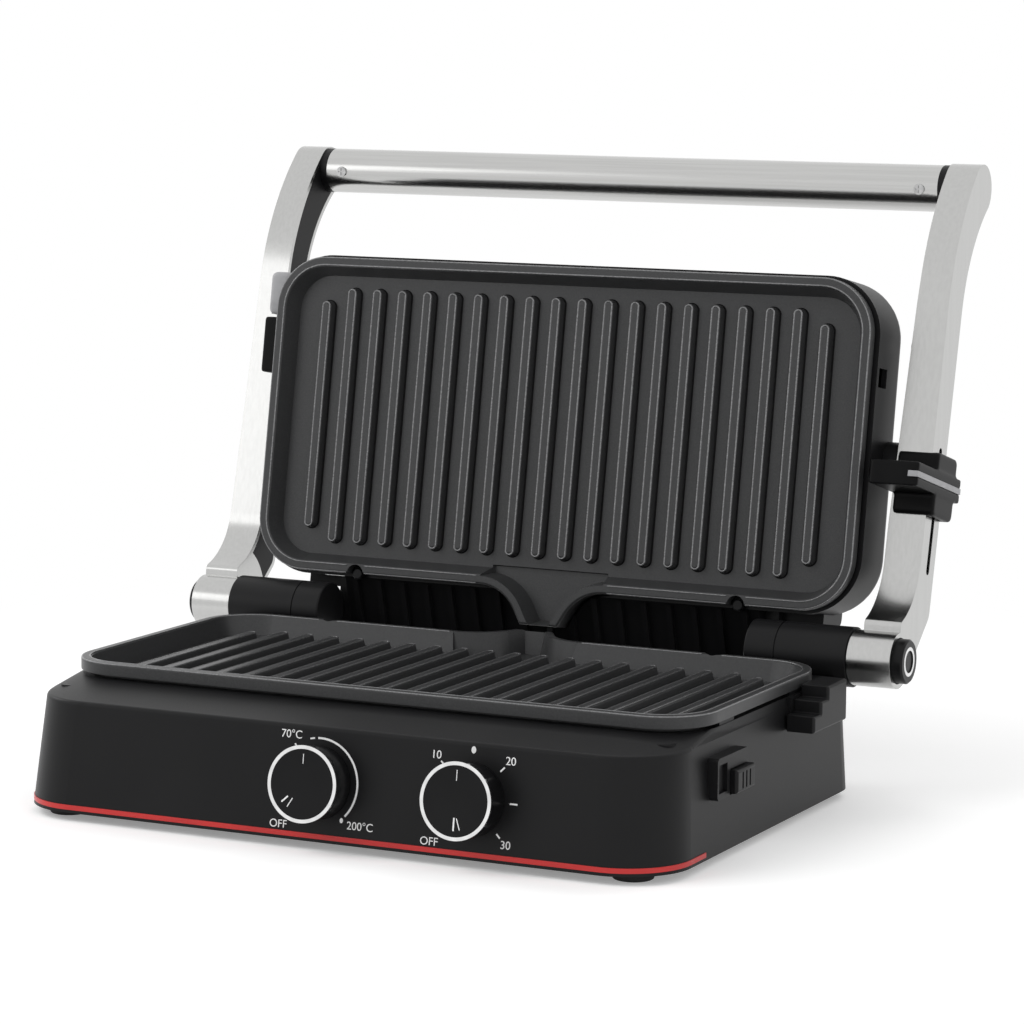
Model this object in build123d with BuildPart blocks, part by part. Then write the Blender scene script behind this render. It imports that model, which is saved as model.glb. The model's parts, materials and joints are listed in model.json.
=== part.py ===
from build123d import *
from math import atan2, cos, degrees, radians, sin, tan
import os

os.makedirs("parts", exist_ok=True)

# Grill plates, the same casting above and below
plate_length = 316.0
plate_width = 156.0
plate_corner = 26.0
plate_gap = 0.6
rim_width = 4.0
rim_height = 5.6
rim_round = 1.2
cavity_depth = 9.5
cavity_slope = 23.0
lip_depth = 0.9
lip_slope = 50.0
floor_thickness = 3.0
pan_inset = 5.5
rib_count = 20
rib_side_margin = 25.0
rib_width = 6.6
rib_height = 4.2
rib_draft = 12.0
rib_round = 1.6
rib_end_margin = 14.4
end_rib_margin = 21.1
spout_reach = 17.7
spout_tip_half = 10.0
spout_bend_radius = 22.0
spout_turn = 60.0
spout_floor_depth = 11.6
spout_wall = 2.4
spout_slope = 12.0
notch_from_end = 56.5
notch_radius = 4.5

# Base shell, set out from the grill plate. Heights count down from the parting plane of the plates
base_height = 62.0
foot_height = 4.0
deck_drop = 7.8
shoulder_drop = 12.6
wall = 2.6
deck_side_inset = 0.4
deck_front_ledge = 2.0
panel_reach = 31.4
side_flare = 3.2
panel_flare = 7.0
base_front_corner = 30.0
base_rear_corner = 20.0
base_post_from_side = 10.0
base_post_from_front = 25.4
base_post_from_recess = 11.0
shoulder_round = 2.0
rear_past_hinge = 13.1
recess_before_hinge = 8.4
recess_from_end = 34.0
cover_thickness = 2.2
vent_count = 9
vent_pitch = 16.0
vent_length = 40.0
vent_width = 3.0
vent_y = -30.0

# Fits and gaps
pan_clearance = 0.8
seat_gap = 0.2
running_fit = 0.05
press_fit_gap = 0.03
moving_gap = 0.4
cover_gap = 0.3
lining_gap = 0.1
lid_gap = 2.5

# Hinge
hinge_reach = 19.4
barrel_from_end = 45.0
barrel_length = 50.4
barrel_radius = 14.0
barrel_seam_from_end = 15.0
barrel_seam_width = 0.6
barrel_seam_depth = 0.5
barrel_end_round = 1.0
barrel_foot_depth = 20.0
barrel_foot_from_recess = 5.0
barrel_foot_from_outer_end = 11.4
barrel_foot_half = 8.9
barrel_leg_length = 8.0
barrel_leg_half = 6.9
knuckle_radius = 13.0
hinge_pin_radius = 4.0
hinge_pin_in_barrel = 39.4
hinge_pin_end_gap = 1.0

# Handle frame
arm_inner_gap = 3.6
arm_depth = 18.0
arm_top_inset = 2.5
arm_taper_low = 60.0
arm_taper_high = 170.0
arm_wall = 2.2
arm_lean = 14.66
arm_width = 19.4
arm_front_offset = 14.8
arm_straight_low_u = 47.0
arm_straight_high_u = 168.0
arm_back_high_u = 169.0
arm_heel_u = 24.0
arm_heel_round = 8.0
arm_toe_out = 1.6
arm_toe_z = 17.5
arm_toe_round = 3.0
arm_end_radius = 12.0
arm_top_lean = 46.0
foot_slope = 40.0
lining_thickness = 3.5
lining_screw_us = (70.0, 150.0)
lining_screw_head = 0.6
tube_from_hinge_y = 102.5
tube_z = 211.7
tube_radius = 11.2
tube_wall = 1.2
tube_end_gap = 3.8
plug_radius = 7.5
plug_in_tube = 15.0
tube_screw_from_end = 9.0
tube_screw_head_radius = 2.6
tube_screw_head_height = 0.9

# Button and cap on the knuckles
knuckle_pocket_depth = 12.5
button_radius = 10.35
button_proud = 5.0
button_length = 10.0
button_ring_radius = 6.8
button_ring_width = 1.6
button_ring_depth = 1.0
button_chamfer = 0.8
hinge_spring_radius = 6.6
hinge_spring_bore = 5.8
hinge_cap_proud = 3.0

# Lid, set out from the grill plate
lid_lean = 10.0
lid_end_border = 2.0
lid_side_border = 1.5
lid_depth = 46.0
lid_back_round = 12.0
lip_half_length = 138.0
lip_bottom_v = 12.5
lip_front_w = -22.0
lip_back_round = 5.0
lip_notch_w = -30.0
chin_reach = 7.0
chin_front_drop = 19.0
chin_back_round = 6.0
chin_side_gap = 6.5
chin_rib_pitch = 13.0
chin_rib_width = 3.0
chin_rib_height = 2.4
pivot_from_middle = -4.4
pivot_w = -33.0
pivot_radius = 5.0
pivot_bush_wall = 1.5
pivot_collar_radius = 9.0
pivot_depth_in_arm = 10.5

# Controls
knob_above_middle = 0.8
temperature_knob_x = -3.5
timer_knob_x = 70.5
knob_front_radius = 16.8
knob_back_radius = 16.0
knob_height_off_panel = 14.6
knob_gap = 0.5
knob_ring_width = 1.6
knob_ring_depth = 1.2
shaft_radius = 3.0
bushing_radius = 5.0
thermostat_length = 30.0
thermostat_height = 24.0
thermostat_depth = 15.0
timer_radius = 19.0
timer_depth = 20.0

# Height slider, measured up the arm from the hinge and across it
slider_low_u = 69.5
slider_high_u = 99.5
slider_front_t = -11.7
slider_back_t = -39.1
slider_cheek = 4.4
slider_from_inner_face = 2.0
slider_round = 3.0
flange_low_u = 79.5
flange_high_u = 91.0
flange_front_t = 15.8
flange_back_t = -45.0
flange_proud = 5.0
slider_gap = 0.5
stripe_inlay = 1.2
stripe_height = 2.7
slot_width = 4.0
slot_low_u = 43.0
slot_high_u = 103.0
slot_t = -25.5

# Height catch on the right side
catch_stand_off = 1.6
catch_width = 13.4
catch_low = -22.5
catch_top = -3.6
catch_step = 5.6
catch_step_length = 8.4
catch_length = 23.0
catch_before_hinge = 34.4
catch_chamfer = 0.8

# Inside of the base and lid
reflector_sheet = 0.8
reflector_depth = 24.0
element_drop = 18.0
element_radius = 3.3
element_inset = 23.3
element_end_x = 12.0
element_bend = 14.0
tail_bend = 4.8
element_tail = 34.0
support_x = 85.0
support_length = 10.0
screw_radius = 1.75
screw_head_radius = 3.4
screw_head_height = 2.2
post_radius = 4.5
post_bite = 0.4
reflector_post_x = 60.0
reflector_post_y = 25.0
seat_pad_y = 40.0
seat_pad_width = 3.6
seat_pad_length = 16.0
foot_radius = 9.0
foot_stem_radius = 3.0
foot_round = 1.0
foot_from_side = 21.2
foot_from_front = 18.4
foot_from_rear = 18.5
gland_from_side = 26.2
gland_above_bottom = 18.0
gland_radius = 5.5
gland_bore = 3.6
gland_flange = 8.0
gland_proud = 3.0
gland_tail = 5.2
wire_radius = 1.2
wire_lane_gap = 9.0
wire_end_shift = 8.0
terminal_from_side = 36.2
terminal_y = 20.0
terminal_length = 30.0
terminal_width = 18.0
terminal_height = 16.0

# Trim and drip tray
trim_above_bottom = 1.4
trim_height = 2.2
trim_proud = 0.3
trim_inlay = 1.2
trim_end_y = -70.0
tray_from_barrel = 15.0
tray_depth = 31.0
tray_from_rear = 2.5
tray_height = 5.4
tray_wall = 1.2

# Release buttons
lower_button_y = -40.0
lower_button_below_shoulder = 18.7
lower_button_length = 20.0
lower_button_height = 10.4
lower_button_proud = 9.0
lower_button_in = 8.0
lower_spring_length = 13.0
lower_frame_shift_y = -7.0
lower_frame_shift_z = 3.0
lower_frame_length = 34.0
lower_frame_height = 18.4
lower_frame_corner = 2.0
lower_frame_proud = 5.6
lower_dent_shift_y = -18.0
lower_dent_length = 9.0
lower_dent_height = 12.4
lower_dent_depth = 1.8
spring_radius = 3.6
spring_bore = 2.8
collar_proud = 1.4
upper_button_from_middle = 33.6
upper_button_length = 28.0
upper_button_w = -16.4
upper_button_height = 10.4
upper_button_proud = 10.9
upper_button_in = 1.1
upper_frame_margin = 3.0
button_shade = 0.5
button_round = 1.5
button_groove_count = 3
button_groove_pitch = 4.0
button_groove_width = 1.2
button_groove_depth = 0.8
grip_from_middle = 59.1
grip_length = 20.0
grip_proud = 7.0
side_notch_from_middle = 33.1
side_notch_length = 9.0
side_notch_depth = 13.0

# Plate sizes worked out from the sizes above
pan_depth = cavity_depth + floor_thickness
pan_length = plate_length - 2 * pan_inset
pan_width = plate_width - 2 * pan_inset
pan_corner = plate_corner - pan_inset
rib_pitch = (plate_length - 2 * rib_side_margin) / (rib_count - 1)
rib_half_length = plate_width / 2 - rib_end_margin
end_rib_half_length = plate_width / 2 - end_rib_margin
notch_x = plate_length / 2 - notch_from_end
opening_length = pan_length + 2 * pan_clearance
opening_width = pan_width + 2 * pan_clearance
opening_corner = pan_corner + pan_clearance
spout_bend_x = spout_tip_half + spout_bend_radius * sin(radians(spout_turn)) \
    + (spout_reach - spout_bend_radius * (1 - cos(radians(spout_turn)))) / tan(radians(spout_turn))
spout_center_y = plate_width / 2 + spout_bend_radius
spout_tip_y = plate_width / 2 + spout_reach

# Places in the base, from its middle and from the parting plane
parting_z = base_height + foot_height
hinge_y = plate_width / 2 + hinge_reach
deck_half_width = plate_length / 2 - deck_side_inset
deck_front = plate_width / 2 + deck_front_ledge
deck_under = deck_drop + wall
shoulder_half_width = plate_length / 2
shoulder_front = plate_width / 2 + panel_reach
skirt_half_width = shoulder_half_width + side_flare
skirt_front = shoulder_front + panel_flare
base_rear = hinge_y + rear_past_hinge
recess_wall_y = hinge_y - recess_before_hinge
recess_half_width = plate_length / 2 - recess_from_end
base_post_x = shoulder_half_width - base_post_from_side
base_post_front_y = base_post_from_front - shoulder_front
base_post_rear_y = recess_wall_y - base_post_from_recess
foot_x = skirt_half_width - foot_from_side
foot_front_y = foot_from_front - skirt_front
foot_rear_y = base_rear - foot_from_rear
seat_pad_x = (opening_length / 2 + deck_half_width) / 2
trim_low = trim_above_bottom - base_height
trim_high = trim_low + trim_height
cover_top = cover_thickness - base_height
gland_x = gland_from_side - skirt_half_width
gland_z = gland_above_bottom - base_height
terminal_x = terminal_from_side - skirt_half_width
element_half_length = opening_length / 2 - element_inset
element_half_width = opening_width / 2 - element_inset
knob_height = knob_above_middle - (shoulder_drop + base_height) / 2
panel_lean = degrees(atan2(skirt_front - shoulder_front, base_height - shoulder_drop))
panel_y = -(shoulder_front + (-knob_height - shoulder_drop) * tan(radians(panel_lean)))
panel_thickness = wall * cos(radians(panel_lean))

# Places along the hinge and in the handle frame
barrel_inner_x = plate_length / 2 - barrel_from_end
barrel_outer_x = barrel_inner_x + barrel_length
barrel_middle_x = (barrel_inner_x + barrel_outer_x) / 2
barrel_seam_x = barrel_inner_x + barrel_seam_from_end
barrel_foot_low = -barrel_foot_depth
barrel_foot_inner_x = recess_half_width + barrel_foot_from_recess
barrel_foot_outer_x = barrel_outer_x - barrel_foot_from_outer_end
barrel_foot_middle_x = (barrel_foot_inner_x + barrel_foot_outer_x) / 2
barrel_leg_inner_x = recess_half_width + wall + 2 * cover_gap
barrel_leg_middle_x = barrel_leg_inner_x + barrel_leg_length / 2
arm_inner_x = barrel_outer_x + arm_inner_gap
arm_outer_x = arm_inner_x + arm_depth
arm_top_inner_x = arm_inner_x + arm_top_inset
knuckle_pocket_x = arm_outer_x - knuckle_pocket_depth
hinge_pin_inner_x = barrel_outer_x - hinge_pin_in_barrel
hinge_pin_outer_x = knuckle_pocket_x - hinge_pin_end_gap
button_back_x = arm_outer_x + button_proud - button_length
tube_y = hinge_y + tube_from_hinge_y
tube_half_length = arm_top_inner_x - tube_end_gap
tube_screw_x = tube_half_length - tube_screw_from_end
slider_inner_x = arm_inner_x + slider_from_inner_face
slider_outer_x = arm_outer_x + slider_cheek
flange_inner_x = arm_inner_x - 2 * moving_gap
flange_outer_x = arm_outer_x + flange_proud
flange_middle_u = (flange_low_u + flange_high_u) / 2
arm_front_t = -arm_front_offset
arm_back_t = arm_front_t - arm_width
catch_inner_x = shoulder_half_width + catch_stand_off
catch_outer_x = catch_inner_x + catch_width
catch_rear_y = hinge_y - catch_before_hinge
catch_first_y = catch_rear_y - catch_length
tray_half_length = barrel_inner_x - tray_from_barrel
tray_front_y = recess_wall_y - tray_depth
tray_rear_y = base_rear - tray_from_rear
tray_middle_y = (tray_front_y + tray_rear_y) / 2

# Places in the lid, v up its face from the hinge and w out of its face
lid_half_length = plate_length / 2 + lid_end_border
lid_half_width = plate_width / 2 + lid_side_border
lid_corner = plate_corner + lid_end_border
lid_half_low_v = hinge_y - lid_half_width
lid_back_w = -lid_depth
lid_front_w = -deck_drop
lid_center = (0, hinge_y)
rear_cover_top_v = lid_half_low_v + lid_back_round / 2
chin_half_width = recess_half_width - chin_side_gap
cover_middle_half = barrel_inner_x - lid_gap
pivot_v = hinge_y + pivot_from_middle
pivot_y = hinge_y + pivot_v * sin(radians(lid_lean)) - pivot_w * cos(radians(lid_lean))
pivot_z = pivot_v * cos(radians(lid_lean)) + pivot_w * sin(radians(lid_lean))
pivot_tip_x = arm_inner_x + pivot_depth_in_arm

# Places of the release buttons
lower_button_z = -shoulder_drop - lower_button_below_shoulder
lower_button_outer_x = shoulder_half_width + lower_button_proud
lower_button_inner_x = shoulder_half_width - lower_button_in
lower_spring_seat_x = lower_button_inner_x - lower_spring_length
lower_frame_y = lower_button_y + lower_frame_shift_y
lower_frame_z = lower_button_z + lower_frame_shift_z
lower_frame_outer_x = shoulder_half_width + lower_frame_proud
lower_dent_y = lower_button_y + lower_dent_shift_y
upper_button_v = hinge_y + upper_button_from_middle
upper_button_outer_x = lid_half_length + upper_button_proud
upper_button_inner_x = lid_half_length - upper_button_in
upper_spring_seat_x = opening_length / 2 + reflector_sheet
button_low_v = upper_button_v - upper_button_length / 2
button_high_v = upper_button_v + upper_button_length / 2
button_low_w = upper_button_w - upper_button_height / 2
button_high_w = upper_button_w + upper_button_height / 2
grip_low_v = hinge_y + grip_from_middle - grip_length / 2
grip_high_v = grip_low_v + grip_length
side_notch_v = hinge_y + side_notch_from_middle

# The whole object is centred front to back
front_reach = -panel_y + knob_height_off_panel * cos(radians(panel_lean)) \
    + knob_front_radius * sin(radians(panel_lean))
rear_reach = tube_y + arm_end_radius
plate_y = (front_reach - rear_reach) / 2

# Planes of the parts. Sketch coordinates on them are measured from the plate centre or the hinge axis
level = Plane(origin=(0, plate_y, parting_z))
side = Plane(origin=(0, plate_y, parting_z), x_dir=(0, 1, 0), z_dir=(1, 0, 0))
hinge_point = (0, plate_y + hinge_y, parting_z)
lid_up = (0, sin(radians(lid_lean)), cos(radians(lid_lean)))
lid_out = (0, -cos(radians(lid_lean)), sin(radians(lid_lean)))
lid_face = Plane(origin=hinge_point, x_dir=(1, 0, 0), z_dir=lid_out)
lid_side = Plane(origin=hinge_point, x_dir=lid_up, z_dir=(1, 0, 0))
arm_up = (0, sin(radians(arm_lean)), cos(radians(arm_lean)))
arm_side = Plane(origin=hinge_point, x_dir=arm_up, z_dir=(1, 0, 0))
panel = Plane(
    origin=(0, plate_y + panel_y, parting_z + knob_height),
    x_dir=(1, 0, 0),
    z_dir=(0, -cos(radians(panel_lean)), sin(radians(panel_lean))),
)
upper_plate_center = Vector(*hinge_point) + Vector(*lid_up) * hinge_y
upper_face = Plane(origin=upper_plate_center, x_dir=(-1, 0, 0), z_dir=lid_out)
right = 1
left = -1


def save(piece, name):
    piece.part.label = name
    export_step(piece.part, f"parts/{name}.step")


def spout_half_line(bend_radius, root_y):
    """Half of the spout outline, from the middle of the root round the bend to the tip."""
    arc_end_x = spout_bend_x - bend_radius * sin(radians(spout_turn))
    arc_end_y = spout_center_y - bend_radius * cos(radians(spout_turn))
    tip_x = arc_end_x - (spout_tip_y - arc_end_y) / tan(radians(spout_turn))
    Polyline((0, root_y), (spout_bend_x, root_y), (spout_bend_x, spout_center_y - bend_radius))
    CenterArc((spout_bend_x, spout_center_y), bend_radius, 270, -spout_turn)
    Polyline((arc_end_x, arc_end_y), (tip_x, spout_tip_y), (0, spout_tip_y))


def spout_face(bend_radius):
    with BuildSketch() as outline:
        with BuildLine():
            spout_half_line(bend_radius, plate_width / 2 - 3 * rim_width)
            mirror(about=Plane.YZ)
        make_face()
    return outline.sketch


def build_ribs(floor):
    """Row of ribs with rounded tops, the outer two a little shorter."""
    with BuildPart() as ribs:
        with BuildSketch(floor):
            for index in range(rib_count):
                half_length = rib_half_length
                if index in (0, rib_count - 1):
                    half_length = end_rib_half_length
                with Locations(((index - (rib_count - 1) / 2) * rib_pitch, 0)):
                    SlotOverall(2 * half_length, rib_width, rotation=90)
        extrude(amount=rib_height, taper=rib_draft)
        fillet(ribs.edges().group_by(Axis(floor.origin, floor.z_dir))[-1], rib_round)
    return ribs.part


def build_grill_plate(face):
    rim_top = face.offset(-plate_gap / 2)
    upward = Axis(face.origin, face.z_dir)
    with BuildPart() as plate:
        with BuildSketch(rim_top):
            RectangleRounded(plate_length, plate_width, plate_corner)
            add(spout_face(spout_bend_radius))
        extrude(amount=-rim_height)
        fillet(plate.edges().group_by(upward)[-1], rim_round)
        with BuildSketch(rim_top.offset(-rim_height)):
            RectangleRounded(pan_length, pan_width, pan_corner)
        extrude(amount=rim_height - pan_depth)
        with BuildSketch(rim_top.offset(-rim_height)):
            add(spout_face(spout_bend_radius + spout_wall / 2))
        extrude(amount=rim_height - spout_floor_depth - spout_wall)
        with BuildSketch(rim_top):
            RectangleRounded(
                plate_length - 2 * rim_width, plate_width - 2 * rim_width, plate_corner - rim_width
            )
        extrude(amount=-lip_depth, taper=lip_slope, mode=Mode.SUBTRACT)
        lip_inset = rim_width + lip_depth * tan(radians(lip_slope)) / 2
        with BuildSketch(rim_top):
            RectangleRounded(
                plate_length - 2 * lip_inset, plate_width - 2 * lip_inset, plate_corner - lip_inset
            )
        extrude(amount=-cavity_depth, taper=cavity_slope, mode=Mode.SUBTRACT)
        with BuildSketch(rim_top):
            add(spout_face(spout_bend_radius + rim_width))
        extrude(amount=-spout_floor_depth, taper=spout_slope, mode=Mode.SUBTRACT)
        with BuildSketch(rim_top):
            with Locations((-notch_x, plate_width / 2), (notch_x, plate_width / 2)):
                Circle(notch_radius)
        extrude(amount=-pan_depth, mode=Mode.SUBTRACT)
        add(build_ribs(rim_top.offset(-cavity_depth)))
    return plate


def on_both_sides(x, y):
    return [(-x, y), (x, y)]


# Grill plates

lower_grill_plate = build_grill_plate(level)
save(lower_grill_plate, "lower_grill_plate")
upper_grill_plate = build_grill_plate(upper_face)
save(upper_grill_plate, "upper_grill_plate")


# Base shell


def base_outline(half_width, front, inset):
    """Outline of the base at one height, drawn in from its outer face by inset."""
    rear = base_rear - inset
    with BuildSketch() as outline:
        with Locations((0, (rear - (front - inset)) / 2)):
            Rectangle(2 * (half_width - inset), rear + front - inset)
        fillet(outline.vertices().group_by(Axis.Y)[0], base_front_corner - inset)
        fillet(outline.vertices().group_by(Axis.Y)[-1], base_rear_corner - inset)
    return outline.sketch


def base_body(inset, roof_drop):
    """Closed body of the base, drawn in by inset all round and by roof_drop from the top."""
    share = roof_drop / (base_height - shoulder_drop)
    half_width = shoulder_half_width + share * (skirt_half_width - shoulder_half_width)
    front = shoulder_front + share * (skirt_front - shoulder_front)
    shoulder = base_outline(half_width, front, inset)
    with BuildPart() as body:
        add(level.offset(-base_height) * base_outline(skirt_half_width, skirt_front, inset))
        add(level.offset(-shoulder_drop - roof_drop) * shoulder)
        loft(ruled=True)
        add(level.offset(-shoulder_drop - roof_drop) * shoulder)
        add(level.offset(-deck_drop - roof_drop) * base_outline(deck_half_width, deck_front, inset))
        loft(ruled=True)
    return body.part


def recess_box(grow):
    """Space between the hinge barrels behind the base, grown by the wall around it."""
    with BuildPart() as recess:
        with BuildSketch(level.offset(-base_height)):
            with Locations((0, recess_wall_y - grow)):
                Rectangle(
                    2 * (recess_half_width + grow), base_rear, align=(Align.CENTER, Align.MIN)
                )
        extrude(amount=base_height)
    return recess.part


def base_cavity_body():
    with BuildPart() as cavity:
        add(base_body(wall, wall))
        add(recess_box(wall), mode=Mode.SUBTRACT)
    return cavity.part


def trim_ring(outer_grow, inner_grow):
    """Band round the front of the base at the height of the trim."""
    middle = -(trim_low + trim_high) / 2
    share = (middle - shoulder_drop) / (base_height - shoulder_drop)
    half_width = shoulder_half_width + share * (skirt_half_width - shoulder_half_width)
    front = shoulder_front + share * (skirt_front - shoulder_front)
    with BuildPart() as ring:
        with BuildSketch(level.offset(trim_low)):
            add(base_outline(half_width, front, -outer_grow))
            add(base_outline(half_width, front, -inner_grow), mode=Mode.SUBTRACT)
            with Locations((0, trim_end_y)):
                Rectangle(
                    3 * skirt_half_width,
                    3 * base_rear,
                    align=(Align.CENTER, Align.MIN),
                    mode=Mode.SUBTRACT,
                )
        extrude(amount=trim_high - trim_low)
    return ring.part


base_post_places = on_both_sides(base_post_x, base_post_front_y)
base_post_places += on_both_sides(base_post_x, base_post_rear_y)
reflector_post_places = on_both_sides(reflector_post_x, -reflector_post_y)
reflector_post_places += on_both_sides(reflector_post_x, reflector_post_y)
foot_places = on_both_sides(foot_x, foot_front_y) + on_both_sides(foot_x, foot_rear_y)
seat_pad_places = on_both_sides(seat_pad_x, -seat_pad_y) + on_both_sides(seat_pad_x, seat_pad_y)
knob_places = [(temperature_knob_x, 0), (timer_knob_x, 0)]
shoulder_point = level.from_local_coords(Vector(0, -shoulder_front, -shoulder_drop))

with BuildPart() as base_housing:
    add(base_body(0, 0))
    fillet(base_housing.edges().sort_by_distance(shoulder_point)[0], shoulder_round)
    add(recess_box(0), mode=Mode.SUBTRACT)
    add(base_cavity_body(), mode=Mode.SUBTRACT)
    # Opening for the pan of the lower plate, with a seat for its spout
    with BuildSketch(level.offset(-deck_under - wall)):
        RectangleRounded(opening_length, opening_width, opening_corner)
    extrude(amount=deck_under + wall, mode=Mode.SUBTRACT)
    with BuildSketch(level.offset(-spout_floor_depth - spout_wall - 1)):
        add(spout_face(spout_bend_radius - pan_clearance))
    extrude(amount=spout_floor_depth + spout_wall + 1, mode=Mode.SUBTRACT)
    with BuildSketch(level.offset(-deck_drop)):
        with Locations(seat_pad_places):
            Rectangle(seat_pad_width, seat_pad_length)
    extrude(amount=deck_drop - plate_gap / 2 - rim_height - seat_gap)
    # Troughs for the hinge barrels and holes for their feet
    for sign in (left, right):
        with BuildSketch(side.offset(sign * barrel_middle_x)):
            with Locations((hinge_y, 0)):
                Circle(barrel_radius + cover_gap)
        extrude(amount=barrel_length / 2 + moving_gap, both=True, mode=Mode.SUBTRACT)
    with BuildSketch(level.offset(barrel_foot_low)):
        with Locations(on_both_sides(barrel_foot_middle_x, hinge_y)):
            Rectangle(
                barrel_foot_outer_x - barrel_foot_inner_x + 2 * cover_gap,
                2 * (barrel_foot_half + cover_gap),
            )
    extrude(amount=-barrel_foot_low, mode=Mode.SUBTRACT)
    # Slot for the drip tray in the wall of the recess
    with BuildSketch(level.offset(-base_height)):
        with Locations((0, recess_wall_y - wall / 2)):
            Rectangle(2 * (tray_half_length + 1), 3 * wall)
    extrude(amount=cover_thickness + tray_height + 1, mode=Mode.SUBTRACT)
    # Holes for the control shafts and the window for the release button
    with BuildSketch(panel.offset(1)):
        with Locations(knob_places):
            Circle(bushing_radius + cover_gap)
    extrude(amount=-3 * wall, mode=Mode.SUBTRACT)
    # Frame of the release button and pad of the height catch on the right side
    with BuildSketch(side.offset(shoulder_half_width)):
        with Locations((lower_frame_y, lower_frame_z)):
            RectangleRounded(lower_frame_length, lower_frame_height, lower_frame_corner)
    extrude(amount=lower_frame_outer_x - shoulder_half_width)
    with BuildSketch(side.offset(shoulder_half_width - wall)):
        with Locations((lower_button_y, lower_button_z)):
            Rectangle(
                lower_button_length + 2 * button_shade, lower_button_height + 2 * button_shade
            )
    extrude(amount=6 * wall, mode=Mode.SUBTRACT)
    with BuildSketch(side.offset(lower_frame_outer_x - lower_dent_depth)):
        with Locations((lower_dent_y, lower_frame_z)):
            Rectangle(lower_dent_length, lower_dent_height)
    extrude(amount=wall, mode=Mode.SUBTRACT)
    with BuildSketch(side.offset(shoulder_half_width - 1)):
        with Locations(((catch_first_y + catch_rear_y) / 2 - catch_step_length, -deck_drop)):
            Rectangle(
                catch_rear_y - catch_first_y + catch_step_length,
                -catch_low - deck_drop,
                align=(Align.CENTER, Align.MAX),
            )
    extrude(amount=catch_inner_x - shoulder_half_width + 1)
    # Groove for the trim
    add(trim_ring(3, -trim_inlay), mode=Mode.SUBTRACT)
    # Hole for the cord gland in the rear wall
    with BuildSketch(Plane.XZ.offset(-plate_y - base_rear)):
        with Locations((gland_x, parting_z + gland_z)):
            Circle(gland_radius + press_fit_gap)
    extrude(amount=2 * wall, both=True, mode=Mode.SUBTRACT)
    # Posts for the cover screws
    with BuildSketch(level.offset(cover_top)):
        with Locations(base_post_places):
            Circle(post_radius)
            Circle(screw_radius + press_fit_gap, mode=Mode.SUBTRACT)
    extrude(amount=post_bite - deck_under - cover_top)
save(base_housing, "base_housing")

with BuildPart() as red_trim:
    add(trim_ring(trim_proud, -trim_inlay))
save(red_trim, "red_trim")

# Bottom of the base
cover_inset = wall + cover_gap + cover_thickness * tan(radians(panel_lean))

with BuildPart() as base_cover:
    with BuildSketch(level.offset(-base_height)):
        add(base_outline(skirt_half_width, skirt_front, cover_inset))
        with Locations((0, recess_wall_y - cover_inset)):
            Rectangle(
                2 * (recess_half_width + cover_inset),
                base_rear,
                align=(Align.CENTER, Align.MIN),
                mode=Mode.SUBTRACT,
            )
        with Locations((0, tray_middle_y)):
            Rectangle(2 * tray_half_length, tray_rear_y - tray_front_y)
    extrude(amount=cover_thickness)
    with BuildSketch(level.offset(cover_top)):
        with Locations(reflector_post_places):
            Circle(post_radius)
    extrude(amount=-reflector_depth - cover_top)
    with BuildSketch(level.offset(-reflector_depth)):
        with Locations(reflector_post_places):
            Circle(screw_radius + press_fit_gap)
    extrude(amount=-4 * post_radius, mode=Mode.SUBTRACT)
    with BuildSketch(level.offset(-base_height)):
        with Locations(base_post_places):
            Circle(screw_radius + cover_gap)
        with Locations(foot_places):
            Circle(foot_stem_radius + press_fit_gap)
        with Locations((0, vent_y)):
            with GridLocations(vent_pitch, 0, vent_count, 1):
                SlotOverall(vent_length, vent_width, rotation=90)
    extrude(amount=cover_thickness, mode=Mode.SUBTRACT)
    # Seat of the release spring
    with BuildSketch(side.offset(lower_spring_seat_x)):
        with Locations((lower_button_y, cover_top)):
            Rectangle(
                3 * spring_radius,
                lower_button_z + 2 * spring_radius - cover_top,
                align=(Align.CENTER, Align.MIN),
            )
    extrude(amount=-wall)
save(base_cover, "base_cover")

with BuildPart() as feet:
    with BuildSketch(level.offset(-base_height - foot_height)):
        with Locations(foot_places):
            Circle(foot_radius)
    extrude(amount=foot_height)
    fillet(feet.faces().sort_by(Axis.Z)[0:4].edges(), foot_round)
    with BuildSketch(level.offset(-base_height)):
        with Locations(foot_places):
            Circle(foot_stem_radius)
    extrude(amount=cover_thickness + 1)
save(feet, "feet")

with BuildPart() as base_screws:
    with BuildSketch(level.offset(-base_height - screw_head_height)):
        with Locations(base_post_places):
            Circle(screw_head_radius)
    extrude(amount=screw_head_height)
    with BuildSketch(level.offset(-base_height)):
        with Locations(base_post_places):
            Circle(screw_radius)
    extrude(amount=6 * screw_head_height)
    with BuildSketch(level.offset(-base_height - screw_head_height)):
        with Locations(base_post_places):
            Rectangle(screw_radius * 2, screw_radius / 3)
            Rectangle(screw_radius / 3, screw_radius * 2)
    extrude(amount=screw_radius / 2, mode=Mode.SUBTRACT)
save(base_screws, "base_screws")

with BuildPart() as drip_tray:
    with BuildSketch(level.offset(cover_top + moving_gap)):
        with Locations((0, tray_middle_y)):
            Rectangle(2 * tray_half_length, tray_rear_y - tray_front_y)
    extrude(amount=tray_height)
    with BuildSketch(level.offset(cover_top + moving_gap + tray_wall)):
        with Locations((0, tray_middle_y)):
            RectangleRounded(
                2 * (tray_half_length - tray_wall),
                tray_rear_y - tray_front_y - 2 * tray_wall,
                4 * tray_wall,
            )
    extrude(amount=tray_height, mode=Mode.SUBTRACT)
    with BuildSketch(level.offset(cover_top + moving_gap + tray_height)):
        with Locations((0, tray_rear_y)):
            SlotOverall(tray_half_length / 2, 4 * tray_wall)
    extrude(amount=-tray_wall)
save(drip_tray, "drip_tray")

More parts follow.
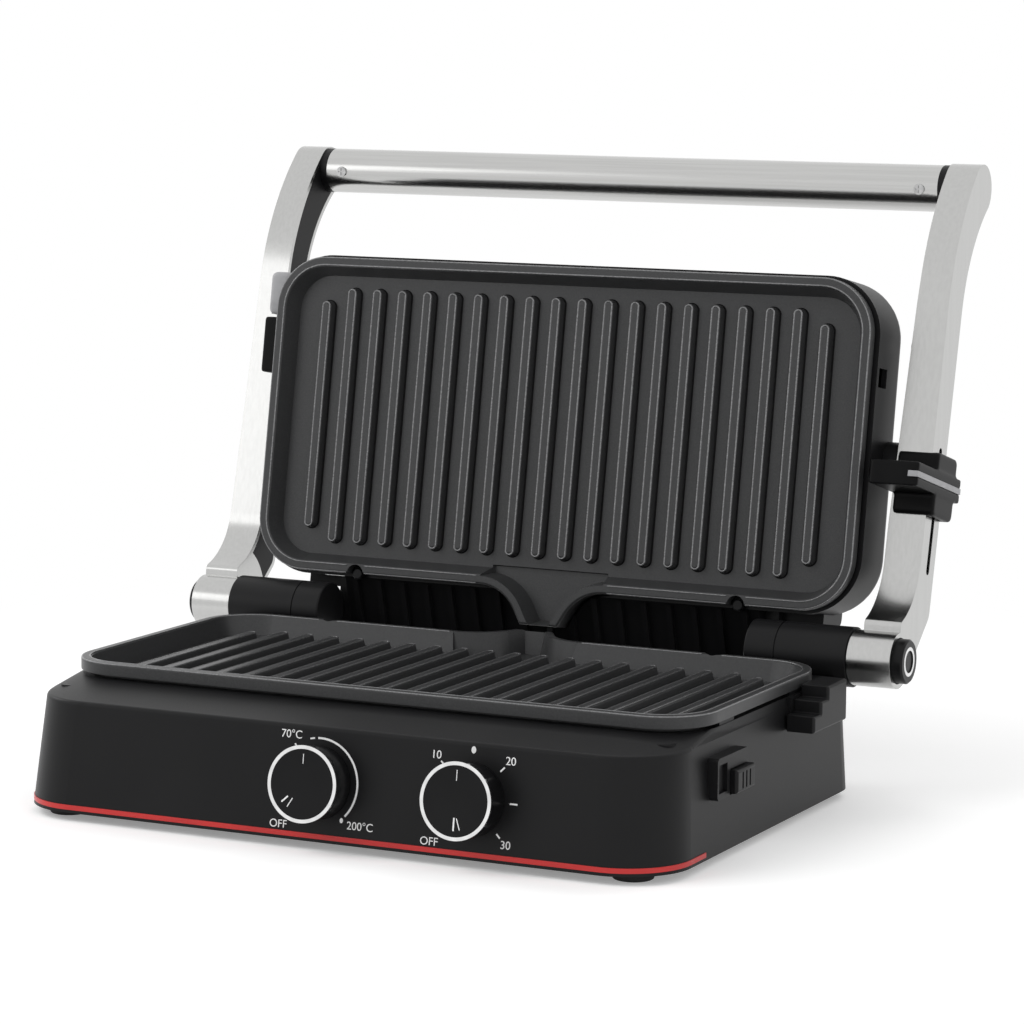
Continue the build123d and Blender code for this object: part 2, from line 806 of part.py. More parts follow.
with BuildPart() as height_catch:
    with BuildSketch(side.offset(catch_inner_x)):
        with BuildLine():
            second_y = catch_first_y - catch_step_length
            third_y = second_y - catch_step_length
            Polyline(
                (catch_rear_y, catch_low),
                (catch_rear_y, catch_top),
                (catch_first_y, catch_top),
                (catch_first_y, catch_top - catch_step),
                (second_y, catch_top - catch_step),
                (second_y, catch_top - 2 * catch_step),
                (third_y, catch_top - 2 * catch_step),
                (third_y, catch_low),
                close=True,
            )
        make_face()
    extrude(amount=catch_outer_x - catch_inner_x)
    chamfer(height_catch.faces().sort_by(Axis.X)[-1].edges(), catch_chamfer)
save(height_catch, "height_catch")

with BuildPart() as cord_gland:
    with BuildSketch(Plane.XZ.offset(-plate_y - base_rear)):
        with Locations((gland_x, parting_z + gland_z)):
            Circle(gland_radius)
    extrude(amount=gland_tail)
    with BuildSketch(Plane.XZ.offset(-plate_y - base_rear)):
        with Locations((gland_x, parting_z + gland_z)):
            Circle(gland_flange)
    extrude(amount=-gland_proud)
    with BuildSketch(Plane.XZ.offset(-plate_y - base_rear)):
        with Locations((gland_x, parting_z + gland_z)):
            Circle(gland_bore)
    extrude(amount=gland_tail + gland_proud, both=True, mode=Mode.SUBTRACT)
save(cord_gland, "cord_gland")


# Hinge


def build_hinge_barrel(sign):
    """Tube on the hinge axis with a foot and a leg down to the base cover."""
    with BuildPart() as barrel:
        with BuildSketch(side.offset(sign * barrel_inner_x)):
            with Locations((hinge_y, 0)):
                Circle(barrel_radius)
        extrude(amount=sign * barrel_length)
        ends = barrel.edges().filter_by(GeomType.CIRCLE)
        fillet(ends.sort_by(Axis.X)[0 if sign == right else -1], barrel_end_round)
        with BuildSketch(side.offset(sign * barrel_seam_x)):
            with Locations((hinge_y, 0)):
                Circle(barrel_radius + 1)
                Circle(barrel_radius - barrel_seam_depth, mode=Mode.SUBTRACT)
        extrude(amount=barrel_seam_width, mode=Mode.SUBTRACT)
        with BuildSketch(level.offset(barrel_foot_low)):
            with Locations((sign * barrel_foot_middle_x, hinge_y)):
                Rectangle(barrel_foot_outer_x - barrel_foot_inner_x, 2 * barrel_foot_half)
        extrude(amount=-barrel_foot_low)
        with BuildSketch(level.offset(cover_top)):
            with Locations((sign * barrel_leg_middle_x, hinge_y)):
                Rectangle(barrel_leg_length, 2 * barrel_leg_half)
        extrude(amount=barrel_foot_low - cover_top)
        with BuildSketch(side.offset(sign * hinge_pin_inner_x)):
            with Locations((hinge_y, 0)):
                Circle(hinge_pin_radius + press_fit_gap)
        extrude(amount=sign * barrel_length, mode=Mode.SUBTRACT)
    return barrel


hinge_barrel_left = build_hinge_barrel(left)
save(hinge_barrel_left, "hinge_barrel_left")
hinge_barrel_right = build_hinge_barrel(right)
save(hinge_barrel_right, "hinge_barrel_right")

with BuildPart() as hinge_pins:
    for sign in (left, right):
        with BuildSketch(side.offset(sign * hinge_pin_inner_x)):
            with Locations((hinge_y, 0)):
                Circle(hinge_pin_radius)
        extrude(amount=sign * (hinge_pin_outer_x - hinge_pin_inner_x))
save(hinge_pins, "hinge_pins")


# Handle frame


def arm_point(u, t):
    """Side-plane point at u up the arm from the hinge and t towards the front of it."""
    lean = radians(arm_lean)
    return (hinge_y + u * sin(lean) - t * cos(lean), u * cos(lean) + t * sin(lean))


def arm_outline():
    """Side view of an arm: foot, straight part, bent top and round end."""
    front_t = -arm_front_offset
    back_t = front_t - arm_width
    bend = radians(arm_top_lean)
    tube = Vector(tube_y, tube_z)
    front_end = tube + Vector(-cos(bend), sin(bend)) * arm_end_radius
    back_end = tube - Vector(-cos(bend), sin(bend)) * arm_end_radius
    front_low = arm_point(arm_straight_low_u, front_t)
    front_high = arm_point(arm_straight_high_u, front_t)
    back_high = arm_point(arm_back_high_u, back_t)
    back_low = arm_point(arm_heel_u, back_t)
    foot = radians(foot_slope)
    toe = (hinge_y + arm_toe_out, arm_toe_z)
    heel = (hinge_y + knuckle_radius * sin(foot), -knuckle_radius * cos(foot))
    upward = (sin(radians(arm_lean)), cos(radians(arm_lean)))
    downward = (-upward[0], -upward[1])
    with BuildSketch() as outline:
        with BuildLine():
            Line((hinge_y, 0), toe)
            TangentArc(front_low, toe, tangent=downward)
            Line(front_low, front_high)
            TangentArc(front_high, front_end, tangent=upward)
            ThreePointArc(front_end, tube + Vector(sin(bend), cos(bend)) * arm_end_radius, back_end)
            TangentArc(back_high, back_end, tangent=upward)
            Line(back_high, back_low)
            Line(back_low, heel)
            Line(heel, (hinge_y, 0))
        make_face()
        fillet(outline.vertices().sort_by_distance(back_low)[0], arm_heel_round)
        fillet(outline.vertices().sort_by_distance(toe)[0], arm_toe_round)
        with Locations((hinge_y, 0)):
            Circle(knuckle_radius)
    return outline.sketch


def arm_void():
    """Hollow of the arm channel, open on its inner side."""
    with BuildSketch() as void:
        add(arm_outline())
        offset(amount=-arm_wall)
        with Locations((hinge_y, 0)):
            Circle(2.2 * knuckle_radius, mode=Mode.SUBTRACT)
    return void.sketch


def top_taper(sign):
    """Wedge that thins an arm towards the handle tube, taken off its inner side."""
    with BuildPart() as wedge:
        with BuildSketch(Plane.XZ.offset(-plate_y - tube_y - 2 * arm_end_radius)):
            with BuildLine():
                Polyline(
                    (sign * (arm_inner_x - 1), parting_z + arm_taper_low),
                    (sign * arm_inner_x, parting_z + arm_taper_low),
                    (sign * arm_top_inner_x, parting_z + arm_taper_high),
                    (sign * arm_top_inner_x, parting_z + tube_z + 2 * arm_end_radius),
                    (sign * (arm_inner_x - 1), parting_z + tube_z + 2 * arm_end_radius),
                    close=True,
                )
            make_face()
        extrude(amount=2 * tube_y)
    return wedge.part


def build_arm(sign):
    with BuildPart() as arm:
        with BuildSketch(side.offset(sign * arm_outer_x)):
            add(arm_outline())
        extrude(amount=-sign * arm_depth)
        with BuildSketch(side.offset(sign * (barrel_outer_x + moving_gap))):
            with Locations((hinge_y, 0)):
                Circle(knuckle_radius)
        extrude(amount=sign * arm_depth)
        with BuildSketch(side.offset(sign * arm_inner_x)):
            add(arm_void())
        extrude(amount=sign * (arm_depth - arm_wall), mode=Mode.SUBTRACT)
        add(top_taper(sign), mode=Mode.SUBTRACT)
        # Bore for the hinge pin and pocket for the button or cap
        with BuildSketch(side.offset(sign * barrel_outer_x)):
            with Locations((hinge_y, 0)):
                Circle(hinge_pin_radius + running_fit)
        extrude(amount=sign * arm_depth, mode=Mode.SUBTRACT)
        with BuildSketch(side.offset(sign * knuckle_pocket_x)):
            with Locations((hinge_y, 0)):
                Circle(button_radius + moving_gap)
        extrude(amount=sign * arm_depth, mode=Mode.SUBTRACT)
        if sign == right:
            with BuildSketch(arm_side.offset(arm_outer_x)):
                with Locations(((slot_low_u + slot_high_u) / 2, slot_t)):
                    SlotOverall(slot_high_u - slot_low_u, slot_width)
            extrude(amount=-2 * arm_wall, mode=Mode.SUBTRACT)
    return arm


def build_arm_lining(sign):
    """Black inner side of an arm, with a bush for the lid pivot and a hole for the tube plug."""
    with BuildPart() as lining:
        with BuildSketch(side.offset(sign * arm_inner_x)):
            add(arm_void())
            offset(amount=-lining_gap)
        extrude(amount=sign * lining_thickness)
        with BuildSketch(side.offset(sign * (arm_inner_x + lining_thickness))):
            with Locations((pivot_y, pivot_z)):
                Circle(pivot_radius + pivot_bush_wall)
        extrude(amount=sign * (pivot_tip_x - arm_inner_x - lining_thickness))
        with BuildSketch(side.offset(sign * arm_inner_x)):
            with Locations((pivot_y, pivot_z)):
                Circle(pivot_radius + running_fit)
        extrude(amount=sign * arm_depth, mode=Mode.SUBTRACT)
        with BuildSketch(side.offset(sign * arm_inner_x)):
            with Locations((tube_y, tube_z)):
                Circle(plug_radius + press_fit_gap)
        extrude(amount=sign * arm_depth, mode=Mode.SUBTRACT)
        add(top_taper(sign), mode=Mode.SUBTRACT)
    return lining


arm_left = build_arm(left)
save(arm_left, "arm_left")
arm_right = build_arm(right)
save(arm_right, "arm_right")
arm_lining_left = build_arm_lining(left)
save(arm_lining_left, "arm_lining_left")
arm_lining_right = build_arm_lining(right)
save(arm_lining_right, "arm_lining_right")


with BuildPart() as handle_tube:
    with BuildSketch(side.offset(-tube_half_length)):
        with Locations((tube_y, tube_z)):
            Circle(tube_radius)
            Circle(tube_radius - tube_wall, mode=Mode.SUBTRACT)
    extrude(amount=2 * tube_half_length)
    with BuildSketch(Plane.XZ.offset(-plate_y - tube_y)):
        with Locations(
            (-tube_screw_x, parting_z + tube_z), (tube_screw_x, parting_z + tube_z)
        ):
            Circle(screw_radius + press_fit_gap)
    extrude(amount=2 * tube_radius, mode=Mode.SUBTRACT)
save(handle_tube, "handle_tube")

plug_fit_radius = tube_radius - tube_wall - press_fit_gap
with BuildPart() as handle_plugs:
    for sign in (left, right):
        for x_low, x_high, radius in (
            (tube_half_length - plug_in_tube, tube_half_length, plug_fit_radius),
            (tube_half_length, arm_top_inner_x, tube_radius),
            (arm_top_inner_x, arm_top_inner_x + 2 * lining_thickness, plug_radius),
        ):
            with BuildSketch(side.offset(sign * x_low)):
                with Locations((tube_y, tube_z)):
                    Circle(radius)
            extrude(amount=sign * (x_high - x_low))
    with BuildSketch(Plane.XZ.offset(-plate_y - tube_y)):
        with Locations(
            (-tube_screw_x, parting_z + tube_z), (tube_screw_x, parting_z + tube_z)
        ):
            Circle(screw_radius + press_fit_gap)
    extrude(amount=2 * tube_radius, mode=Mode.SUBTRACT)
save(handle_plugs, "handle_plugs")

with BuildPart() as handle_screws:
    with BuildSketch(Plane.XZ.offset(-plate_y - tube_y)):
        with Locations(
            (-tube_screw_x, parting_z + tube_z), (tube_screw_x, parting_z + tube_z)
        ):
            Circle(screw_radius)
    extrude(amount=tube_radius)
    with BuildSketch(Plane.XZ.offset(-plate_y - tube_y + tube_radius)):
        with Locations(
            (-tube_screw_x, parting_z + tube_z), (tube_screw_x, parting_z + tube_z)
        ):
            Circle(tube_screw_head_radius)
    extrude(amount=tube_screw_head_height)
    with BuildSketch(Plane.XZ.offset(-plate_y - tube_y + tube_radius + tube_screw_head_height)):
        with Locations(
            (-tube_screw_x, parting_z + tube_z), (tube_screw_x, parting_z + tube_z)
        ):
            Rectangle(1.4 * tube_screw_head_radius, screw_radius / 3)
            Rectangle(screw_radius / 3, 1.4 * tube_screw_head_radius)
    extrude(amount=-0.6 * tube_screw_head_height, mode=Mode.SUBTRACT)
save(handle_screws, "handle_screws")


with BuildPart() as lining_screws:
    for sign in (left, right):
        with BuildSketch(side.offset(sign * arm_inner_x)):
            with Locations([arm_point(u, -arm_front_offset - arm_width / 2) for u in lining_screw_us]):
                Circle(screw_head_radius)
        extrude(amount=-sign * lining_screw_head)
save(lining_screws, "lining_screws")

# Release button in the right knuckle and cap in the left one

with BuildPart() as hinge_release_button:
    with BuildSketch(side.offset(button_back_x)):
        with Locations((hinge_y, 0)):
            Circle(button_radius)
    extrude(amount=button_length)
    chamfer(hinge_release_button.edges().group_by(Axis.X)[-1], button_chamfer)
    with BuildSketch(side.offset(arm_outer_x + button_proud)):
        with Locations((hinge_y, 0)):
            Circle(button_ring_radius + press_fit_gap)
            Circle(button_ring_radius - button_ring_width - press_fit_gap, mode=Mode.SUBTRACT)
    extrude(amount=-button_ring_depth, mode=Mode.SUBTRACT)
    with BuildSketch(side.offset(arm_outer_x + button_proud)):
        with Locations((hinge_y, 0)):
            Circle(button_ring_radius - button_ring_width - 2 * press_fit_gap)
    extrude(amount=-button_ring_depth / 2, mode=Mode.SUBTRACT)
save(hinge_release_button, "hinge_release_button")

with BuildPart() as hinge_button_ring:
    with BuildSketch(side.offset(arm_outer_x + button_proud - button_ring_depth)):
        with Locations((hinge_y, 0)):
            Circle(button_ring_radius)
            Circle(button_ring_radius - button_ring_width, mode=Mode.SUBTRACT)
    extrude(amount=button_ring_depth)
save(hinge_button_ring, "hinge_button_ring")

with BuildPart() as hinge_button_spring:
    with BuildSketch(side.offset(knuckle_pocket_x)):
        with Locations((hinge_y, 0)):
            Circle(hinge_spring_radius)
            Circle(hinge_spring_bore, mode=Mode.SUBTRACT)
    extrude(amount=button_back_x - knuckle_pocket_x)
save(hinge_button_spring, "hinge_button_spring")

with BuildPart() as hinge_cap:
    with BuildSketch(side.offset(-knuckle_pocket_x)):
        with Locations((hinge_y, 0)):
            Circle(button_radius + moving_gap - press_fit_gap)
    extrude(amount=-(arm_outer_x + hinge_cap_proud - knuckle_pocket_x))
    chamfer(hinge_cap.edges().group_by(Axis.X)[0], button_chamfer)
save(hinge_cap, "hinge_cap")

# Height slider on the right arm


def arm_box(x_low, x_high, u_low, u_high, t_low, t_high):
    """Box square to the right arm."""
    with BuildPart() as box:
        with BuildSketch(arm_side.offset(x_low)):
            with Locations(((u_low + u_high) / 2, (t_low + t_high) / 2)):
                Rectangle(u_high - u_low, t_high - t_low)
        extrude(amount=x_high - x_low)
    return box.part


with BuildPart() as height_slider:
    add(
        arm_box(
            slider_inner_x, slider_outer_x, slider_low_u, slider_high_u,
            slider_back_t, slider_front_t,
        )
    )
    fillet(height_slider.edges().filter_by(Axis.X), slider_round)
    add(
        arm_box(
            flange_inner_x, flange_outer_x, flange_low_u, flange_high_u,
            flange_back_t, flange_front_t,
        )
    )
    add(
        arm_box(
            flange_inner_x - 1, arm_outer_x + moving_gap, slider_low_u - 1, slider_high_u + 1,
            arm_back_t - slider_gap, arm_front_t + slider_gap,
        ),
        mode=Mode.SUBTRACT,
    )
    add(
        arm_box(
            flange_inner_x - 1, slider_inner_x, slider_low_u - 1, slider_high_u + 1,
            flange_back_t - 1, arm_front_t + slider_gap,
        ),
        mode=Mode.SUBTRACT,
    )
    # Key that runs in the slot of the arm
    add(
        arm_box(
            arm_outer_x - arm_wall - 1, arm_outer_x + moving_gap,
            flange_low_u, flange_high_u,
            slot_t - slot_width / 2 + moving_gap, slot_t + slot_width / 2 - moving_gap,
        )
    )
    # Groove for the stripe round the front and outer side of the flange
    add(
        arm_box(
            flange_outer_x - stripe_inlay, flange_outer_x + 1,
            flange_middle_u - stripe_height / 2, flange_middle_u + stripe_height / 2,
            flange_back_t - 1, flange_front_t + 1,
        ),
        mode=Mode.SUBTRACT,
    )
    add(
        arm_box(
            arm_outer_x, flange_outer_x + 1,
            flange_middle_u - stripe_height / 2, flange_middle_u + stripe_height / 2,
            flange_front_t - stripe_inlay, flange_front_t + 1,
        ),
        mode=Mode.SUBTRACT,
    )
save(height_slider, "height_slider")

with BuildPart() as slider_stripe:
    add(
        arm_box(
            flange_outer_x - stripe_inlay, flange_outer_x,
            flange_middle_u - stripe_height / 2, flange_middle_u + stripe_height / 2,
            flange_back_t, flange_front_t,
        )
    )
    add(
        arm_box(
            arm_outer_x, flange_outer_x,
            flange_middle_u - stripe_height / 2, flange_middle_u + stripe_height / 2,
            flange_front_t - stripe_inlay, flange_front_t,
        )
    )
save(slider_stripe, "slider_stripe")


# Lid


def side_box(x_low, x_high, v_low, v_high, w_low, w_high):
    """Box square to the lid."""
    with BuildPart() as box:
        with BuildSketch(lid_side.offset(x_low)):
            with Locations(((v_low + v_high) / 2, (w_low + w_high) / 2)):
                Rectangle(v_high - v_low, w_high - w_low)
        extrude(amount=x_high - x_low)
    return box.part


def lid_outline(inset):
    with BuildSketch() as outline:
        with Locations(lid_center):
            RectangleRounded(
                2 * (lid_half_length - inset), 2 * (lid_half_width - inset), lid_corner - inset
            )
    return outline.sketch


def lid_box(inset, w_low, w_high, back_round):
    """Rounded box of the lid between two depths, with a rounded back edge."""
    with BuildPart() as box:
        with BuildSketch(lid_face.offset(w_low)):
            add(lid_outline(inset))
        extrude(amount=w_high - w_low)
        outward = Axis(lid_face.origin, lid_face.z_dir)
        fillet(box.edges().group_by(outward)[0], back_round)
    return box.part


def chin_body(inset):
    """Lower part of the rear cover between the hinge barrels, drawn in by inset."""
    slope = atan2(chin_front_drop + lid_front_w, lid_half_low_v + chin_reach)
    rise = inset / cos(slope)
    low_v = -chin_reach + inset
    low_w = -chin_front_drop - rise + inset * tan(slope)
    with BuildPart() as chin:
        with BuildSketch(lid_side.offset(-(chin_half_width - inset))):
            with BuildLine():
                Polyline(
                    (low_v, low_w),
                    (lid_half_low_v, lid_front_w - rise),
                    (rear_cover_top_v, lid_front_w - rise),
                    (rear_cover_top_v, lid_back_w + inset),
                    (low_v, lid_back_w + inset),
                    close=True,
                )
            make_face()
        extrude(amount=2 * (chin_half_width - inset))
        corner = lid_side.from_local_coords(Vector(low_v, lid_back_w + inset))
        back_edge = chin.edges().filter_by(Axis.X).sort_by_distance(corner)[0]
        fillet(back_edge, chin_back_round - inset)
    return chin.part


def lip_body(inset):
    """Low rear edge of the lid behind the hinge barrels, drawn in by inset."""
    low_v = lip_bottom_v + inset
    with BuildPart() as lip:
        add(
            side_box(
                inset - lip_half_length, lip_half_length - inset,
                low_v, rear_cover_top_v, lid_back_w + inset, lip_front_w - inset,
            )
        )
        corner = lid_side.from_local_coords(Vector(low_v, lid_back_w + inset))
        back_edge = lip.edges().filter_by(Axis.X).sort_by_distance(corner)[0]
        fillet(back_edge, lip_back_round - inset)
    return lip.part


def barrel_clearance(inset):
    """Space that the hinge barrels need in front of the ends of the rear cover."""
    with BuildPart() as space:
        for low_x, high_x in (
            (-chin_half_width - 1, lid_gap - barrel_inner_x + inset),
            (barrel_inner_x - lid_gap - inset, chin_half_width + 1),
        ):
            add(
                side_box(
                    low_x, high_x, -barrel_length, rear_cover_top_v + 1,
                    -barrel_radius - lid_gap - inset, barrel_length,
                )
            )
    return space.part


def gland_clearance(inset):
    """Space that the cord gland needs under the end of the lip when the lid lies flat."""
    with BuildPart() as space:
        add(
            side_box(
                -lip_half_length - 1, gland_x + gland_flange + lid_gap / 2 + inset,
                lip_bottom_v - 1, rear_cover_top_v + 1, lid_back_w - 1, lip_notch_w + inset,
            )
        )
    return space.part


def rear_cover_body(inset):
    """Closed body of the rear cover, drawn in by inset."""
    with BuildPart() as body:
        add(chin_body(inset))
        add(lip_body(inset))
        add(barrel_clearance(inset), mode=Mode.SUBTRACT)
        add(gland_clearance(inset), mode=Mode.SUBTRACT)
    return body.part


def chin_ribs():
    """Upright ribs on the sloping front of the chin."""
    count = int(2 * cover_middle_half / chin_rib_pitch)
    with BuildPart() as ribs:
        for index in range(count):
            x = (index - (count - 1) / 2) * chin_rib_pitch
            with BuildSketch(lid_side.offset(x - chin_rib_width / 2)):
                with BuildLine():
                    Polyline(
                        (-chin_reach, -chin_front_drop - chin_rib_height),
                        (-chin_reach, -chin_front_drop + chin_rib_height),
                        (lid_half_low_v - 1, lid_front_w + chin_rib_height),
                        (lid_half_low_v - 1, lid_front_w - chin_rib_height),
                        close=True,
                    )
                make_face()
            extrude(amount=chin_rib_width)
    return ribs.part


def upper_spout_space(grow, depth):
    """Space round the spout of the upper plate, in the lid."""
    with BuildPart() as space:
        with BuildSketch(upper_face.offset(-depth)):
            add(spout_face(spout_bend_radius - grow))
            with Locations((0, spout_tip_y)):
                Rectangle(2 * (spout_tip_half + grow), 2 * wall)
        extrude(amount=depth)
    return space.part


def opening_cutter(face, low, high):
    with BuildPart() as cutter:
        with BuildSketch(face.offset(low)):
            RectangleRounded(opening_length, opening_width, opening_corner)
        extrude(amount=high - low)
    return cutter.part


with BuildPart() as lid_housing:
    add(lid_box(0, lid_back_w, lid_front_w, lid_back_round))
    add(lid_box(wall, lid_back_w + wall, 0, lid_back_round - wall), mode=Mode.SUBTRACT)
    add(upper_spout_space(pan_clearance, spout_floor_depth + spout_wall + 1), mode=Mode.SUBTRACT)
    # Posts for the reflector screws
    with BuildSketch(upper_face.offset(lid_back_w + wall)):
        with Locations(reflector_post_places):
            Circle(post_radius)
            Circle(screw_radius + press_fit_gap, mode=Mode.SUBTRACT)
    extrude(amount=-reflector_depth - lid_back_w - wall)
    # Frame, window and finger grip of the release button
    add(
        side_box(
            -lid_half_length - collar_proud, -lid_half_length + 1,
            button_low_v - upper_frame_margin, grip_high_v,
            button_low_w - upper_frame_margin, button_high_w + 2 * button_shade,
        )
    )
    add(
        side_box(
            -lid_half_length - grip_proud, -lid_half_length,
            grip_low_v, grip_high_v, button_low_w, button_high_w,
        )
    )
    add(
        side_box(
            -2 * lid_half_length, -lid_half_length + wall + 1,
            button_low_v - button_shade, button_high_v + button_shade,
            button_low_w - button_shade, button_high_w + button_shade,
        ),
        mode=Mode.SUBTRACT,
    )
    # Rectangular notch in the right side
    add(
        side_box(
            lid_half_length - wall - 1, lid_half_length + 1,
            side_notch_v - side_notch_length / 2, side_notch_v + side_notch_length / 2,
            lid_front_w - side_notch_depth, lid_front_w - wall,
        ),
        mode=Mode.SUBTRACT,
    )
    # Bores for the pivot pins
    for sign in (left, right):
        with BuildSketch(lid_side.offset(sign * (lid_half_length - 2 * wall))):
            with Locations((pivot_v, pivot_w)):
                Circle(pivot_radius + press_fit_gap)
        extrude(amount=sign * 4 * wall, mode=Mode.SUBTRACT)
save(lid_housing, "lid_housing")

with BuildPart() as rear_cover_shell:
    add(rear_cover_body(0))
    add(rear_cover_body(wall), mode=Mode.SUBTRACT)
    add(chin_ribs())
    add(
        lid_box(
            -lining_gap, lid_back_w - lining_gap, lid_front_w + wall, lid_back_round + lining_gap
        ),
        mode=Mode.SUBTRACT,
    )
    add(upper_spout_space(pan_clearance, spout_floor_depth + spout_wall + 1), mode=Mode.SUBTRACT)


def rear_cover_part(x_low, x_high):
    """Part of the rear cover between two planes across the lid."""
    with BuildPart() as cover:
        add(rear_cover_shell.part)
        add(
            side_box(
                x_low, x_high, -barrel_length, rear_cover_top_v + 1,
                lid_back_w - barrel_length, barrel_length,
            ),
            mode=Mode.INTERSECT,
        )
    return cover


lid_rear_cover = rear_cover_part(-cover_middle_half, cover_middle_half)
save(lid_rear_cover, "lid_rear_cover")
cover_end_inner_x = cover_middle_half + lining_gap
lid_cover_end_left = rear_cover_part(-lip_half_length - 1, -cover_end_inner_x)
save(lid_cover_end_left, "lid_cover_end_left")
lid_cover_end_right = rear_cover_part(cover_end_inner_x, lip_half_length + 1)
save(lid_cover_end_right, "lid_cover_end_right")

with BuildPart() as lid_frame:
    with BuildSketch(lid_face.offset(lid_front_w - wall)):
        add(lid_outline(wall + lining_gap))
    extrude(amount=wall)
    add(opening_cutter(upper_face, -deck_under - wall, 0), mode=Mode.SUBTRACT)
    with BuildSketch(upper_face.offset(-deck_drop)):
        with Locations(seat_pad_places):
            Rectangle(seat_pad_width, seat_pad_length)
    extrude(amount=deck_drop - plate_gap / 2 - rim_height - seat_gap)
    add(upper_spout_space(pan_clearance, spout_floor_depth + spout_wall + 1), mode=Mode.SUBTRACT)
save(lid_frame, "lid_frame")

with BuildPart() as lid_pivot_pins:
    for sign in (left, right):
        for x_low, x_high, radius in (
            (lid_half_length - 2 * wall, pivot_tip_x - 1, pivot_radius),
            (lid_half_length, arm_inner_x - moving_gap, pivot_collar_radius),
        ):
            with BuildSketch(lid_side.offset(sign * x_low)):
                with Locations((pivot_v, pivot_w)):
                    Circle(radius)
            extrude(amount=sign * (x_high - x_low))
save(lid_pivot_pins, "lid_pivot_pins")


# Heating parts, the same in the base and in the lid


def build_reflector(face):
    """Sheet metal tray round the element, open towards the plate."""
    length = opening_length + 2 * reflector_sheet
    width = opening_width + 2 * reflector_sheet
    with BuildPart() as reflector:
        with BuildSketch(face.offset(-reflector_depth)):
            RectangleRounded(length, width, opening_corner + reflector_sheet)
        extrude(amount=reflector_depth - deck_under)
        with BuildSketch(face.offset(-reflector_depth + reflector_sheet)):
            RectangleRounded(opening_length, opening_width, opening_corner)
        extrude(amount=reflector_depth, mode=Mode.SUBTRACT)
        with BuildSketch(face.offset(-reflector_depth)):
            with Locations(reflector_post_places):
                Circle(screw_radius + cover_gap)
            with Locations(on_both_sides(element_end_x, element_half_width)):
                Circle(element_radius + 1)
        extrude(amount=4 * reflector_sheet, mode=Mode.SUBTRACT)
        # Room for the spout in the hinge-side wall
        with BuildSketch(face.offset(-spout_floor_depth - spout_wall - 1)):
            with Locations((0, opening_width / 2)):
                Rectangle(2 * spout_bend_x, 6 * wall)
        extrude(amount=spout_floor_depth + spout_wall + 1, mode=Mode.SUBTRACT)
    return reflector


def build_heating_element(face):
    """Round sheathed rod in one loop, with both tails turned down through the tray."""
    rod_z = -element_drop
    tail_z = -element_tail
    route = [
        (-element_end_x, element_half_width, tail_z),
        (-element_end_x, element_half_width, rod_z),
        (-element_half_length, element_half_width, rod_z),
        (-element_half_length, -element_half_width, rod_z),
        (element_half_length, -element_half_width, rod_z),
        (element_half_length, element_half_width, rod_z),
        (element_end_x, element_half_width, rod_z),
        (element_end_x, element_half_width, tail_z),
    ]
    bends = [tail_bend] + [element_bend] * 4 + [tail_bend]
    points = [face.from_local_coords(Vector(*point)) for point in route]
    with BuildPart() as element:
        with BuildLine() as rod_line:
            FilletPolyline(*points, radius=bends)
        with BuildSketch(Plane(origin=points[0], z_dir=face.z_dir)):
            Circle(element_radius)
        sweep(path=rod_line.wires()[0])
    return element


def build_element_supports(face):
    """Ceramic blocks between the tray and the rod."""
    rod_low = -element_drop - element_radius
    tray_floor = -reflector_depth + reflector_sheet
    places = on_both_sides(support_x, -element_half_width)
    places += on_both_sides(support_x, element_half_width)
    with BuildPart() as supports:
        with BuildSketch(face.offset(tray_floor)):
            with Locations(places):
                Rectangle(support_length, 4 * element_radius)
        extrude(amount=rod_low - tray_floor)
    return supports


def build_reflector_screws(face):
    """Pan head screws through the floor of the tray."""
    tray_floor = -reflector_depth + reflector_sheet
    with BuildPart() as screws:
        with BuildSketch(face.offset(tray_floor)):
            with Locations(reflector_post_places):
                Circle(screw_head_radius)
        extrude(amount=screw_head_height)
        with BuildSketch(face.offset(tray_floor)):
            with Locations(reflector_post_places):
                Circle(screw_radius)
        extrude(amount=-3 * post_radius)
    return screws


for position, face in (("lower", level), ("upper", upper_face)):
    save(build_reflector(face), f"{position}_reflector")
    save(build_heating_element(face), f"{position}_heating_element")
    save(build_element_supports(face), f"{position}_element_supports")
    save(build_reflector_screws(face), f"{position}_reflector_screws")


# Release buttons

with BuildPart() as lower_release_button:
    with BuildSketch(side.offset(lower_button_inner_x)):
        with Locations((lower_button_y, lower_button_z)):
            Rectangle(lower_button_length, lower_button_height)
    extrude(amount=lower_button_outer_x - lower_button_inner_x)
    fillet(lower_release_button.edges().group_by(Axis.X)[-1], button_round)
    with BuildSketch(side.offset(lower_button_outer_x)):
        with Locations((lower_button_y, lower_button_z)):
            with GridLocations(button_groove_pitch, 0, button_groove_count, 1):
                Rectangle(button_groove_width, lower_button_height - 2 * button_round)
    extrude(amount=-button_groove_depth, mode=Mode.SUBTRACT)
save(lower_release_button, "lower_release_button")

with BuildPart() as lower_release_spring:
    with BuildSketch(side.offset(lower_spring_seat_x)):
        with Locations((lower_button_y, lower_button_z)):
            Circle(spring_radius)
            Circle(spring_bore, mode=Mode.SUBTRACT)
    extrude(amount=lower_button_inner_x - lower_spring_seat_x)
save(lower_release_spring, "lower_release_spring")

with BuildPart() as upper_release_button:
    add(
        side_box(
            -upper_button_outer_x, -upper_button_inner_x,
            button_low_v, button_high_v, button_low_w, button_high_w,
        )
    )
    fillet(upper_release_button.edges().group_by(Axis.X)[0], button_round)
save(upper_release_button, "upper_release_button")

with BuildPart() as upper_release_spring:
    with BuildSketch(lid_side.offset(-upper_spring_seat_x)):
        with Locations((upper_button_v, upper_button_w)):
            Circle(spring_radius)
            Circle(spring_bore, mode=Mode.SUBTRACT)
    extrude(amount=upper_spring_seat_x - upper_button_inner_x)
save(upper_release_spring, "upper_release_spring")


# Controls


